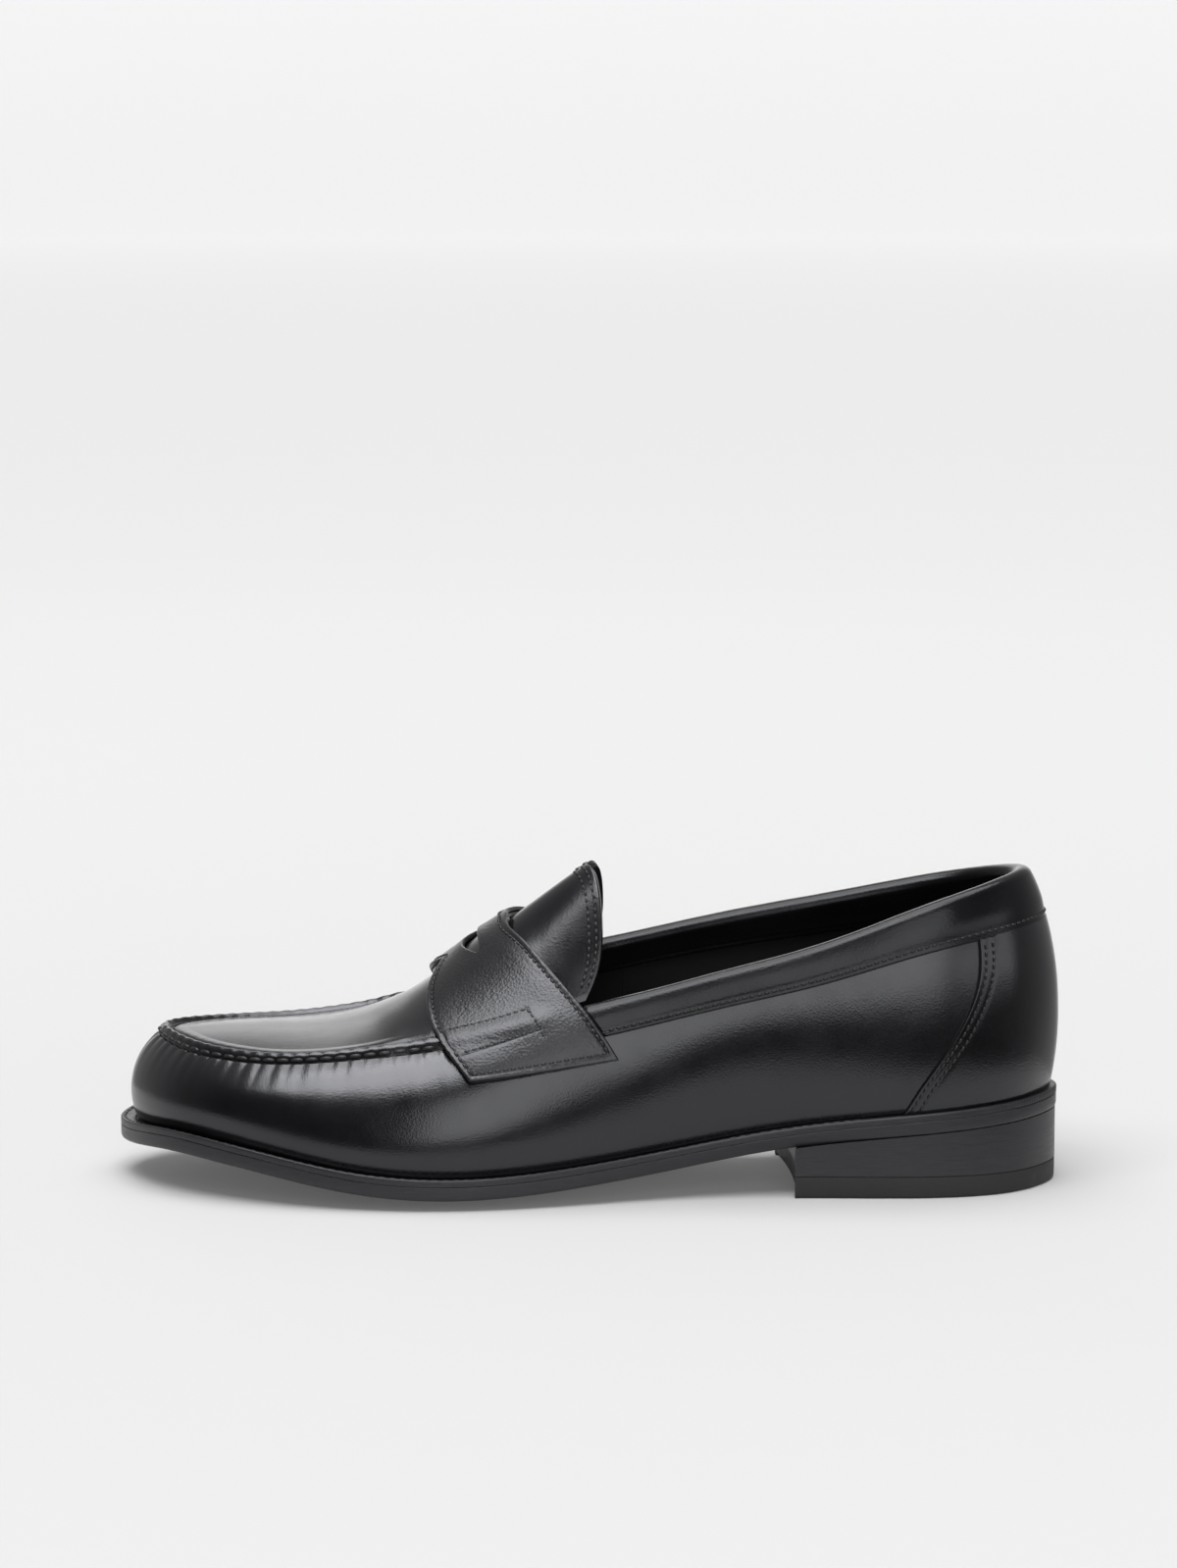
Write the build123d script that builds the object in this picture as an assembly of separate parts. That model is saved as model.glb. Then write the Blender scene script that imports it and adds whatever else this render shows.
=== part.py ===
from build123d import *
import math
import os

import numpy as np

# Penny loafer, left foot, size EU 42. Millimetres.
# +X to the toe, +Y to the outer (lateral) side, +Z up. The origin is on the ground, under the middle.

# ---------------------------------------------------------------- driving dimensions
OUTSOLE_THICK = 4.3
WELT_THICK = 2.2
WELT_REACH_IN = 3.4        # how far the welt goes under the upper
INSOLE_THICK = 2.6
SOCK_THICK = 0.8
TOP_PIECE_THICK = 7.0
HEEL_LIFTS = 3
NAIL_RADIUS = 1.0
UPPER_LEATHER = 1.4
STIFFENER = 0.8
LINING = 0.9
FILLER_PLAY = 0.15         # free space between the filler and the welt
INSOLE_PLAY = 0.35         # free space between the insole and the linings
GLUE = 0.1                 # the gap that stands for each glue line
BACK_SEAM = 0.016          # half the gap at the back seam, in station rows
STRAP_BACKING = 1.3
STRAP_LEATHER = 1.5
BINDING = 1.1
THREAD_WIDE = 0.7
THREAD_HIGH = 0.3
THREAD_LIFT = 0.12         # how far a row of stitches floats over its leather
THICK_THREAD = 1.0         # width of the hand-sewn thread in the raised seam
COVER_LEATHER = 1.1
GRIP_THICK = 0.7
SHANK_SIZE = (100.0, 12.0, 1.2)
SHANK_X = -40.0
SHANK_LIFT = 0.5           # the shank's underside over the top face of the outsole
SHANK_PLAY = 0.1           # free space round the shank, on each side
NAIL_LENGTH = 13.0
NAIL_MIDDLE_Z = 8.0
NAIL_PLAY = 0.02
NAIL_SPOTS = [(-78, 17), (-78, -15), (-104, 21), (-104, -19), (-128, 9), (-128, -8), (-101, 1)]
LIFT_INSET = 0.3           # the lifts stand this far inside the outsole's edge
TOP_PIECE_INSET = 0.9
TOP_PIECE_CHAMFER = 0.8
FIT = 0.02                 # how closely a surface follows the points it is laid through
ROLL_FIT = 0.05            # the same for the rolled binding, which has to stay free of kinks

SANDWICH = UPPER_LEATHER + STIFFENER + LINING + 2 * GLUE    # outer face of the wall to inner face

# ---------------------------------------------------------------- the last, station by station
# From the toe tip along the outer side to the heel (row 14), then along the inner side to the toe.
# Feather line x, y; upper edge of the wall x, y, z; fullness of the wall low down and high up.
STATIONS = [
    (140.8, -8.0, 133.2, -8.0, 45.0, 3.2, 10.6),
    (136.8, 6.0, 129.6, 3.5, 44.4, 3.2, 10.4),
    (127.5, 20.0, 121.0, 15.0, 43.2, 3.2, 10.2),
    (113.0, 31.0, 108.0, 23.8, 42.4, 3.3, 11.4),
    (93.0, 40.0, 90.5, 29.8, 42.7, 3.3, 11.8),
    (66.0, 46.3, 66.0, 32.8, 45.1, 3.4, 12.4),
    (38.0, 46.8, 39.0, 34.2, 48.8, 3.5, 12.2),
    (12.0, 42.0, 13.0, 33.8, 54.5, 3.2, 9.0),
    (-14.0, 35.2, -14.0, 31.5, 60.8, 3.0, 7.6),
    (-42.0, 30.6, -42.0, 30.2, 68.0, 3.2, 7.4),
    (-72.0, 29.8, -71.0, 28.4, 75.7, 3.6, 7.6),
    (-101.0, 30.2, -98.0, 27.0, 85.4, 4.0, 7.6),
    (-124.0, 25.2, -118.0, 22.3, 91.8, 4.8, 8.6),
    (-137.1, 13.8, -130.8, 12.0, 94.7, 4.2, 9.6),
    (-142.3, 0.0, -135.6, 0.0, 95.4, 4.2, 10.0),
    (-137.1, -13.5, -130.8, -12.0, 94.0, 4.2, 9.6),
    (-124.0, -23.6, -118.0, -21.8, 91.0, 4.6, 8.4),
    (-101.0, -28.3, -98.0, -26.6, 86.8, 4.0, 7.2),
    (-70.0, -27.4, -70.0, -28.2, 81.2, 4.2, 6.4),
    (-40.0, -26.8, -41.0, -29.6, 75.4, 4.4, 5.8),
    (-12.0, -31.2, -13.0, -31.0, 69.0, 4.0, 6.2),
    (14.0, -39.2, 13.0, -32.3, 62.8, 3.6, 8.0),
    (40.0, -46.2, 40.0, -34.7, 55.2, 3.4, 10.0),
    (66.0, -49.3, 66.0, -36.3, 47.6, 3.3, 10.2),
    (91.0, -47.2, 90.0, -36.0, 44.0, 3.3, 10.0),
    (112.5, -40.3, 108.0, -32.3, 43.5, 3.3, 10.0),
    (128.5, -30.5, 121.0, -25.5, 44.0, 3.2, 10.2),
    (137.6, -20.0, 129.8, -17.5, 44.7, 3.2, 10.4),
]
HEEL_ROW = 14
# Bottom face of the outsole along the middle: (x, z)
TREAD = [(-146, 23.0), (-100, 20.3), (-60, 15.2), (-20, 6.6), (10, 1.7), (42, 0.0), (75, 2.4),
         (106, 7.6), (146, 11.2)]
# The bottom curls up towards its sides: rise at the edge, half width, middle line, along x
CROWN = [(-146, 0.0), (-60, 0.0), (-10, 2.7), (40, 3.3), (90, 3.3), (146, 3.0)]
HALF_WIDTH = [(-146, 33.0), (-60, 33.0), (0, 41.0), (50, 52.0), (92, 47.4), (113, 39.0),
              (130, 29.0), (146, 25.0)]
MIDDLE = [(-146, 0.0), (-60, 1.5), (0, 1.5), (60, -1.5), (146, -8.0)]
# Ridge of the apron and the tongue: (x, z)
RIDGE = [(-8, 104.4), (0, 98.8), (24, 80.8), (50, 61.2), (64, 53.0), (74, 49.4), (86, 47.6),
         (103, 46.9), (120, 46.3), (133.2, 45.0)]
ARCH_SHOULDER = 1.3        # over 1 gives a steeper ridge and flatter sides
# Ledge of the sole outside the feather line, by station row
LEDGE = [(0, 5.2), (3, 4.4), (6, 4.0), (9, 3.4), (11, 2.9), (14, 3.2), (17, 2.9), (19, 3.4),
         (22, 4.0), (25, 4.4), (28, 5.2)]
# Outline of the strap on each side, from the ridge (0) to its sewn end (1): front x and rear x
STRAP_FRONT = [(0.0, 43.4), (0.1, 45.8), (0.3, 48.2), (0.5, 48.0), (0.7, 45.6), (0.85, 41.6),
               (1.0, 36.8)]
STRAP_REAR = [(0.0, 23.6), (0.1, 23.6), (0.27, 19.2), (0.5, 11.5), (0.75, 1.6), (1.0, -8.1)]
STRAP_DROP = (14.6, 0.086)   # how far its ends reach below the wall's upper edge: at x 0, per mm of x
# The box of stitches near each sewn end, open to the rear: x and share from the ridge
STRAP_BOX = [(41.9, 0.68), (18.2, 0.68), (14.2, 0.80), (37.8, 0.835)]
STRAP_LIFT = 0.4             # the strap's layers lie this far over the leather below
STRAP_STITCH_INSET = 1.8
STRAP_STITCH_END = 0.96      # share from the ridge where its edge rows turn
SLIT_X = 36.0                # the slot across the strap's ridge: place, half length, opening
SLIT_HALF = 15.0
SLIT_OPEN = 4.5
SLIT_LIP = 0.8               # how far its front lip bows forward
SLIT_SWEEP = 3.6             # how far its tips lie behind its middle
TONGUE_TUCK = 6.8            # how far the sides of the tongue stand inside the top line
TUCK_FROM = 46.0             # the tuck starts at this x and is full at the next
TUCK_FULL = 14.0
TONGUE_ROWS = (1.6, 3.6)     # its two rows of stitches, in from the free end
TONGUE_ROW_END = 0.86        # share of the half width where they stop
# Free end of the tongue: across (0 ridge, 1 side) and x
TONGUE_END = [(0.0, 0.4), (0.35, -2.8), (0.65, -4.2), (0.9, -2.4), (1.0, 0.5)]
APRON_INSET = 1.3            # the apron's edge inside the wall's upper edge, and its lining's
APRON_LINING_INSET = 4.6
APRON_STITCH_INSET = 3.6
SEAM_RISE = 0.985            # where the thick thread runs up the wall
SEAM_END = 5.78              # station row where the seam runs under the strap
HEEL_BREAST = (-61.5, -57.0)   # x where the heel's front starts: outer side, inner side
BREAST_Y = 32.0              # distance from the middle where those two points lie
BREAST_HOLLOW = 3.5
HEEL_SPACE = (-170.0, 45.0, 40.0)    # rear x, half width and height of the space the heel is cut from
SHOE_SPACE = (155.0, 62.0)   # half length and half width of the space the layers are cut from
WALL_FLOOR = 0.27            # length of the wall's lower and upper handles, as a share of its height
WALL_SHOULDER = 0.30
# The cover's front edge runs back as it rises: share of its height and station row
COVER_EDGE = [(0.0, 10.83), (0.2, 11.03), (0.4, 11.33), (0.6, 11.64), (0.8, 11.86), (1.0, 11.93)]
COVER_ROWS = (0.07, 0.17)    # its two rows of stitches, in station rows behind the edge
COLLAR_START = 7.52          # station row where the binding comes out from under the strap
COLLAR_SLANT = 0.17          # its end follows the strap's rear edge
COLLAR_STITCH = 0.18         # share of the binding's depth where its stitches run
# Depth of the binding below the wall's upper edge, by station row
COLLAR_DROP = [(7.6, 7.4), (10.0, 9.5), (12.0, 12.6), (14.0, 13.6), (16.0, 12.6), (18.0, 9.5),
               (20.4, 7.4)]
WELT_ROW_INSET = 1.3         # the outsole's stitches inside the welt's edge
WELT_ROW_END = 10.4          # station row where they stop, on each side
# The stations are measured from the middle of the last; this moves the shoe's box over the origin
PLACE = (-0.2, 1.03, 0.0)
UP = np.array([0.0, 0.0, 1.0])
STRAP_TOP = STRAP_LIFT + STRAP_BACKING + GLUE + STRAP_LEATHER


# ---------------------------------------------------------------- curves
class Curve:
    """A cubic spline through points at given knots, open with free ends or closed."""

    def __init__(self, knots, points, period=None):
        self.period = period
        self.k = np.asarray(knots, float)
        self.p = np.atleast_2d(np.asarray(points, float).T).T
        if period is not None:
            self.k = np.append(self.k, self.k[0] + period)
            self.p = np.vstack([self.p, self.p[:1]])
        h = np.diff(self.k)
        slope = np.diff(self.p, axis=0) / h[:, None]
        n = len(self.k)
        a = np.eye(n)
        b = np.zeros_like(self.p)
        for i in range(1, n - 1):
            a[i, i - 1:i + 2] = h[i - 1], 2 * (h[i - 1] + h[i]), h[i]
            b[i] = 6 * (slope[i] - slope[i - 1])
        if period is not None:
            a[0] = 0
            a[0, 0] = 2 * (h[0] + h[-1])
            a[0, 1] = h[0]
            a[0, -2] += h[-1]
            b[0] = 6 * (slope[0] - slope[-1])
            a[-1, 0] = -1
        self.m = np.linalg.solve(a, b)

    def __call__(self, u):
        u = np.asarray(u, float)
        if self.period is not None:
            u = (u - self.k[0]) % self.period + self.k[0]
        i = np.clip(np.searchsorted(self.k, u, side="right") - 1, 0, len(self.k) - 2)
        h = (self.k[i + 1] - self.k[i])[..., None]
        t = (u - self.k[i])[..., None]
        s = h - t
        value = (self.m[i] * s ** 3 + self.m[i + 1] * t ** 3) / (6 * h)
        value += (self.p[i] / h - self.m[i] * h / 6) * s
        value += (self.p[i + 1] / h - self.m[i + 1] * h / 6) * t
        return value


def profile(pairs):
    """A smooth function through (x, value) pairs."""
    curve = Curve([p[0] for p in pairs], [p[1] for p in pairs])
    return lambda x: curve(x)[..., 0]


def unit(v):
    return v / np.linalg.norm(v, axis=-1, keepdims=True)


def smooth_step(x, start, end):
    t = np.clip((x - start) / (end - start), 0.0, 1.0)
    return t * t * (3 - 2 * t)


tread_z = profile(TREAD)
crown_rise = profile(CROWN)
half_width = profile(HALF_WIDTH)
middle_y = profile(MIDDLE)
ridge_z = profile(RIDGE)
strap_front_x = profile(STRAP_FRONT)
strap_rear_x = profile(STRAP_REAR)
tongue_end_x = profile(TONGUE_END)
cover_edge_row = profile(COVER_EDGE)
collar_drop = profile(COLLAR_DROP)
ledge_width = profile(LEDGE)

ROWS = len(STATIONS)
station = Curve(range(ROWS), STATIONS, period=ROWS)


def sole_z(x, y, height=0.0):
    """Height of the layer that lies `height` above the bottom face of the outsole."""
    across = (y - middle_y(x)) / half_width(x)
    return tread_z(x) + crown_rise(x) * across ** 2 + height


def feather(row):
    """Plan point of the feather line, and the outward direction there."""
    step = 0.01
    here = station(row)[..., :2]
    along = unit(station(row + step)[..., :2] - station(row - step)[..., :2])
    outward = np.stack([along[..., 1], -along[..., 0]], axis=-1)
    return here, outward


def wall(row, rise):
    """Outer face of the wall: station row, and 0 at the feather line to 1 at the upper edge."""
    row, rise = np.broadcast_arrays(np.asarray(row, float), np.asarray(rise, float))
    s = station(row)
    foot_xy, outward = feather(row)
    foot_z = sole_z(foot_xy[..., 0], foot_xy[..., 1], OUTSOLE_THICK + WELT_THICK + GLUE)
    p0 = np.concatenate([foot_xy, foot_z[..., None]], axis=-1)
    p3 = s[..., 2:5]
    high = (p3[..., 2] - p0[..., 2])[..., None]
    out = np.concatenate([outward, np.zeros_like(high)], axis=-1)
    p1 = p0 + out * s[..., 5:6] + UP * high * WALL_FLOOR
    p2 = p3 + out * s[..., 6:7] - UP * high * WALL_SHOULDER
    t = rise[..., None]
    return (1 - t) ** 3 * p0 + 3 * (1 - t) ** 2 * t * p1 + 3 * (1 - t) * t ** 2 * p2 + t ** 3 * p3


def wall_normal(row, rise):
    step = 0.004
    low = np.clip(rise - step, 0, 1)
    high = np.clip(rise + step, 0, 1)
    across = wall(row + 0.02, rise) - wall(row - 0.02, rise)
    return unit(np.cross(across, wall(row, high) - wall(row, low)))


def wall_offset(row, rise, depth):
    """A point of the wall, moved `depth` inwards from its outer face (negative is outwards)."""
    row, rise = np.broadcast_arrays(np.asarray(row, float), np.asarray(rise, float))
    return wall(row, rise) - wall_normal(row, rise) * np.asarray(depth)[..., None]


# The two halves of the wall's upper edge, read by x
side_rows = {+1: np.linspace(0, HEEL_ROW, 1401), -1: np.linspace(ROWS, HEEL_ROW, 1401)}
side_edges = {side: station(rows)[:, 2:5] for side, rows in side_rows.items()}


def edge_at(x, side):
    """Y, Z and station row of the wall's upper edge at x, on the outer (+1) or inner (-1) side."""
    edge = side_edges[side]
    order = -edge[:, 0]
    columns = (edge[:, 1], edge[:, 2], side_rows[side])
    return tuple(np.interp(-np.asarray(x), order, column) for column in columns)


def arch_z(x, y, tuck=0.0):
    """Height of the arch over the instep that springs from the wall's upper edges."""
    y_out, z_out, _ = edge_at(x, +1)
    y_in, z_in, _ = edge_at(x, -1)
    half = np.maximum((y_out - y_in) / 2, 0.3) - tuck
    mid = (y_out + y_in) / 2
    s = (y - mid) / half
    base = (z_out + z_in) / 2 + (z_out - z_in) / 2 * s
    hill = ridge_z(x) - (z_out + z_in) / 2
    return base + hill * (1 - ARCH_SHOULDER * s ** 2 + (ARCH_SHOULDER - 1) * s ** 4)


def tongue_tuck(x):
    return TONGUE_TUCK * smooth_step(-x, -TUCK_FROM, -TUCK_FULL)


# ---------------------------------------------------------------- solids from grids of points
def face_of(grid, fit=FIT, degree=1):
    """A face laid through a grid of points, of at least the degree given."""
    rows = [[tuple(float(c) for c in p) for p in line] for line in grid]
    return Face.make_surface_from_array_of_points(rows, tol=fit, min_deg=degree, max_deg=3)


def edge_between(face, a, b):
    """The boundary edge of the face whose ends are nearest to points a and b."""
    def miss(edge):
        p, q = edge.position_at(0), edge.position_at(1)
        start, end = Vector(*a), Vector(*b)
        same_way = (p - start).length + (q - end).length
        other_way = (p - end).length + (q - start).length
        return min(same_way, other_way)
    return min(face.edges(), key=miss)


def thick_patch(outer, inner, fit=FIT, degree=1):
    """A solid between two matching grids of points, closed by ruled sides."""
    top, bottom = face_of(outer, fit, degree), face_of(inner, fit, degree)
    corners = ((0, 0), (0, -1), (-1, -1), (-1, 0), (0, 0))
    sides = []
    for a, b in zip(corners, corners[1:]):
        top_edge = edge_between(top, outer[a], outer[b])
        bottom_edge = edge_between(bottom, inner[a], inner[b])
        sides.append(Face.make_surface_from_curves(top_edge, bottom_edge))
    solid = Solid(Shell([top, bottom] + sides))
    if solid.volume < 0:
        solid = Solid(Shell([-f for f in solid.faces()]))
    return solid


def wall_patch(rows, rises, outer_depth, inner_depth):
    """A layer of the wall over a grid of station rows and rises."""
    return thick_patch(wall_offset(rows, rises, outer_depth), wall_offset(rows, rises, inner_depth))


def wall_grid(first_u, last_u, count_u, first_v, last_v, count_v):
    """Station rows (u) and rises (v) of a patch: each end is a number or a function of the other."""
    v_share = np.linspace(0, 1, count_v)
    u_share = np.linspace(0, 1, count_u)
    us, vs = np.meshgrid(u_share, v_share, indexing="ij")
    value = lambda f, t: f(t) if callable(f) else np.full_like(t, float(f))
    u = value(first_u, vs) * (1 - us) + value(last_u, vs) * us
    v = value(first_v, u) * (1 - vs) + value(last_v, u) * vs
    return u, v


def surface_normals(points):
    """Unit normals of a grid of points."""
    return unit(np.cross(np.gradient(points, axis=0), np.gradient(points, axis=1)))


def ribbon(line, normals, wide=THREAD_WIDE):
    """A flat strip of thread along a line that lies on a surface."""
    along = unit(np.gradient(line, axis=0))
    side = unit(np.cross(along, normals)) * wide / 2
    low = line + normals * THREAD_LIFT
    top = line + normals * (THREAD_LIFT + THREAD_HIGH)
    return thick_patch(np.stack([top - side, top + side], axis=1),
                       np.stack([low - side, low + side], axis=1))


# ---------------------------------------------------------------- bottom
def outline_prism(inset_from_feather, low=-5.0, high=60.0):
    """An upright prism whose outline is the feather line, moved in by a number or function of row."""
    rows = np.arange(0, ROWS, 1.0)
    here, outward = feather(rows)
    inset = inset_from_feather(rows) if callable(inset_from_feather) else inset_from_feather
    points = here - outward * np.reshape(inset, (-1, 1))
    wire = Wire([Spline(*[(float(x), float(y), low) for x, y in points], periodic=True)])
    return Solid.extrude(Face(wire), Vector(0, 0, high - low))


def slab(low, high, x_to=SHOE_SPACE[0]):
    """The space between two heights above the outsole's bottom face, wider than the shoe."""
    xs = np.linspace(-SHOE_SPACE[0], x_to, 25)
    ys = np.linspace(-SHOE_SPACE[1], SHOE_SPACE[1], 5)
    x, y = np.meshgrid(xs, ys, indexing="ij")
    level = lambda h: np.stack([x, y, h(x, y) if callable(h) else sole_z(x, y, h)], axis=-1)
    return thick_patch(level(high), level(low))


def sole_edge(rows, extra=0.0):
    return -(ledge_width(rows % ROWS) - extra)


def heel_front():
    """The region behind the heel breast, with its hollow front."""
    outer_x, inner_x = HEEL_BREAST
    rear_x, side_y, height = HEEL_SPACE
    slope = (outer_x - inner_x) / (2 * BREAST_Y)
    a = (outer_x + slope * (side_y - BREAST_Y), side_y)
    b = (inner_x - slope * (side_y - BREAST_Y), -side_y)
    hollow = ((a[0] + b[0]) / 2 - BREAST_HOLLOW, 0)
    front = ThreePointArc(a, hollow, b)
    back = Polyline(b, (rear_x, -side_y), (rear_x, side_y), a)
    return Solid.extrude(Face(Wire([front] + back.edges())), Vector(0, 0, height))


def heel_level(share, lift):
    """Heel layers fan out between the top piece and the sloping heel seat."""
    def level(x, y):
        return TOP_PIECE_THICK + (sole_z(x, y) - GLUE / 2 - TOP_PIECE_THICK) * share + lift
    return level


def nails(play=0.0):
    """The nails, or with some play the holes they go through."""
    nail = Cylinder(NAIL_RADIUS + play, NAIL_LENGTH + 2 * play)
    return [Location((x, y, NAIL_MIDDLE_Z)) * nail for x, y in NAIL_SPOTS]


def drilled(solid, holes):
    for hole in holes:
        solid = solid - hole
    return solid


def shank_bar(play=0.0):
    """The shank, which follows the bend of the waist, or with some play the slot it lies in."""
    long, wide, thick = SHANK_SIZE
    plan = Location((SHANK_X, 0, 0)) * Box(long + 2 * play, wide + 2 * play, 80)
    low = OUTSOLE_THICK + SHANK_LIFT
    return plan & slab(low - play, low + thick + play)


def make_sole():
    """Outsole, welt, filler with its shank, insole and sock lining."""
    parts = {}
    edge = outline_prism(sole_edge)
    under_upper = outline_prism(WELT_REACH_IN)
    filler_edge = outline_prism(WELT_REACH_IN + FILLER_PLAY)
    inside = outline_prism(SANDWICH + INSOLE_PLAY)
    seat = OUTSOLE_THICK + GLUE / 2
    top = OUTSOLE_THICK + WELT_THICK
    board_top = top + INSOLE_THICK
    parts["outsole"] = edge & slab(0.0, OUTSOLE_THICK - GLUE / 2)
    parts["welt"] = (edge & slab(seat, top)) - under_upper
    parts["shank"] = shank_bar()
    parts["cork_filler"] = (filler_edge & slab(seat, top)) - shank_bar(SHANK_PLAY)
    parts["insole"] = inside & slab(top + GLUE, board_top)
    parts["sock_lining"] = inside & slab(board_top + GLUE, board_top + SOCK_THICK)
    return parts


def make_heel():
    """Three lifts and the rubber top piece, with the nails through them."""
    parts = {}
    heel_plan = heel_front()
    holes = nails(NAIL_PLAY)
    block = outline_prism(lambda row: sole_edge(row, LIFT_INSET), low=-1.0) & heel_plan
    for i in range(HEEL_LIFTS):
        low = heel_level(i / HEEL_LIFTS, GLUE / 2)
        high = heel_level((i + 1) / HEEL_LIFTS, -GLUE / 2)
        lift = block & slab(low, high, x_to=-40.0)
        parts[f"heel_lift_{i + 1}"] = drilled(lift, holes)
    rubber = outline_prism(lambda row: sole_edge(row, TOP_PIECE_INSET), low=0.0, high=TOP_PIECE_THICK)
    rubber = rubber & heel_plan
    rubber = rubber.chamfer(TOP_PIECE_CHAMFER, None, rubber.edges().group_by(Axis.Z)[0])
    parts["top_piece"] = drilled(rubber, holes)
    parts["heel_nails"] = Compound(nails())
    return parts


# ---------------------------------------------------------------- upper
def cover_row(rise, side):
    row = cover_edge_row(rise)
    return row if side > 0 else 2 * HEEL_ROW - row


def collar_rise(row):
    """Rise of the binding's lower edge at each station row."""
    drop = collar_drop(row)
    rises = np.linspace(0.5, 1, 201)
    heights = wall(np.asarray(row, float)[..., None], rises)[..., 2]
    want = np.ravel(heights[..., -1] - drop)
    found = [np.interp(w, h, rises) for h, w in zip(heights.reshape(-1, len(rises)), want)]
    return np.reshape(found, np.shape(row))


def make_wall_layers():
    """The layers of the wall: station rows, rises, and depth from the outer face."""
    stiff = UPPER_LEATHER + GLUE
    inner = stiff + STIFFENER + GLUE
    grip = inner + LINING + GLUE
    heel, past_heel = HEEL_ROW + BACK_SEAM, HEEL_ROW + ROWS - BACK_SEAM
    layers = {
        "vamp": ((heel, past_heel, 57), (0.0, 1.0, 7), 0.0, UPPER_LEATHER),
        "toe_puff": ((-3.6, 3.6, 15), (0.0, 0.86, 5), stiff, STIFFENER),
        "heel_stiffener": ((HEEL_ROW - 3.6, HEEL_ROW + 3.6, 15), (0.0, 0.8, 5), stiff, STIFFENER),
        "vamp_lining": ((-7.9, 7.9, 33), (0.0, 0.93, 6), inner, LINING),
        "quarter_lining": ((7.95, 2 * HEEL_ROW - 7.95, 25), (0.0, 0.985, 6), inner, LINING),
        "heel_grip": ((HEEL_ROW - 2.2, HEEL_ROW + 2.2, 11), (0.18, 0.78, 4), grip, GRIP_THICK),
    }
    parts = {}
    for name, (rows, rises, depth, thick) in layers.items():
        parts[name] = wall_patch(*wall_grid(*rows, *rises), depth, depth + thick)
    return parts


def make_heel_cover():
    """The outer cover, from just over the welt to just under the binding, and its double rows."""
    high = lambda row: collar_rise(row) - 0.006
    outer = -(GLUE + COVER_LEATHER)
    cover = wall_grid(lambda t: cover_row(t, 1), lambda t: cover_row(t, -1), 21, 0.014, high, 7)
    parts = {"heel_cover": wall_patch(*cover, outer, -GLUE)}
    rows = []
    for side in (1, -1):
        for back in COVER_ROWS:
            share = np.linspace(0.03, 0.97, 13)
            row = cover_row(share, side) + side * back
            rise = share * collar_rise(row)
            line = wall_offset(row, rise, outer)
            rows.append(ribbon(line, wall_normal(row, rise)))
    parts["heel_cover_stitching"] = Compound(rows)
    return parts


def binding_section(row, extra):
    """Section of the rolled binding, outer leg, roll and inner leg, `extra` off the wall's faces."""
    low = collar_rise(row)
    out_rise = np.linspace(0, 1, 4)
    leg_rise = low[:, None] + (1 - low[:, None]) * out_rise[None, :]
    towards_end = ((row - HEEL_ROW) / (HEEL_ROW - COLLAR_START))[:, None]
    rows = row[:, None] - COLLAR_SLANT * towards_end * (1 - out_rise[None, :])
    outer_leg = wall_offset(rows, leg_rise, np.full(leg_rise.shape, -extra))
    inner_leg = wall_offset(rows, leg_rise, np.full(leg_rise.shape, SANDWICH + extra))
    top = wall(row, np.ones_like(row))
    normal = wall_normal(row, np.ones_like(row))
    along = unit(wall(row + 0.02, 1.0) - wall(row - 0.02, 1.0))
    up = unit(np.cross(normal, along))
    up = up * np.sign(up[:, 2:3])
    centre = top - normal * SANDWICH / 2
    radius = SANDWICH / 2 + extra
    turn = np.linspace(0, math.pi, 7)[1:-1]
    roll = [centre + normal * radius * math.cos(a) + up * radius * math.sin(a) for a in turn]
    return np.concatenate([outer_leg, np.stack(roll, axis=1), inner_leg[:, ::-1]], axis=1)


def make_collar():
    row = np.linspace(COLLAR_START, 2 * HEEL_ROW - COLLAR_START, 33)
    outer, inner = binding_section(row, GLUE + BINDING), binding_section(row, GLUE)
    parts = {"collar": thick_patch(outer, inner, fit=ROLL_FIT, degree=3)}
    rise = collar_rise(row)
    rise = rise + (1 - rise) * COLLAR_STITCH
    line = wall_offset(row, rise, -(GLUE + BINDING))
    parts["collar_stitching"] = ribbon(line, wall_normal(row, rise))
    return parts


def apron_plan(inset, rear_x, count=31, across=13):
    """Plan points of the apron: rows from the toe seam back to the tongue's free end."""
    toe_row = 2.2
    side = np.linspace(1, -1, across)
    here = station(toe_row * side)[:, 2:4]
    step = unit(station(toe_row * side + 0.02)[:, 2:4] - station(toe_row * side - 0.02)[:, 2:4])
    arc = here - np.stack([step[:, 1], -step[:, 0]], axis=-1) * inset
    start_out, start_in = arc[0, 0], arc[-1, 0]
    chord = arc[:1] + (arc[-1:] - arc[:1]) * ((1 - side) / 2)[:, None]
    bow = arc - chord
    grid_points = []
    for share in np.linspace(0, 1, count):
        end = rear_x(np.abs(side))
        x = (start_out + (start_in - start_out) * (1 - side) / 2) * (1 - share) + end * share
        fade = (1 - share) ** 6
        y_out, _, _ = edge_at(x[0], +1)
        y_in, _, _ = edge_at(x[-1], -1)
        tuck = tongue_tuck(x)
        half = (y_out - y_in) / 2 - inset - tuck
        line_y = (y_out + y_in) / 2 + half * side
        point = np.stack([x + bow[:, 0] * fade, line_y * (1 - fade) + arc[:, 1] * fade], axis=-1)
        grid_points.append(point)
    return np.array(grid_points)


def apron_surface(inset, rear_x):
    plan = apron_plan(inset, rear_x)
    x, y = plan[..., 0], plan[..., 1]
    return np.stack([x, y, arch_z(x, y, tongue_tuck(x))], axis=-1)


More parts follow.
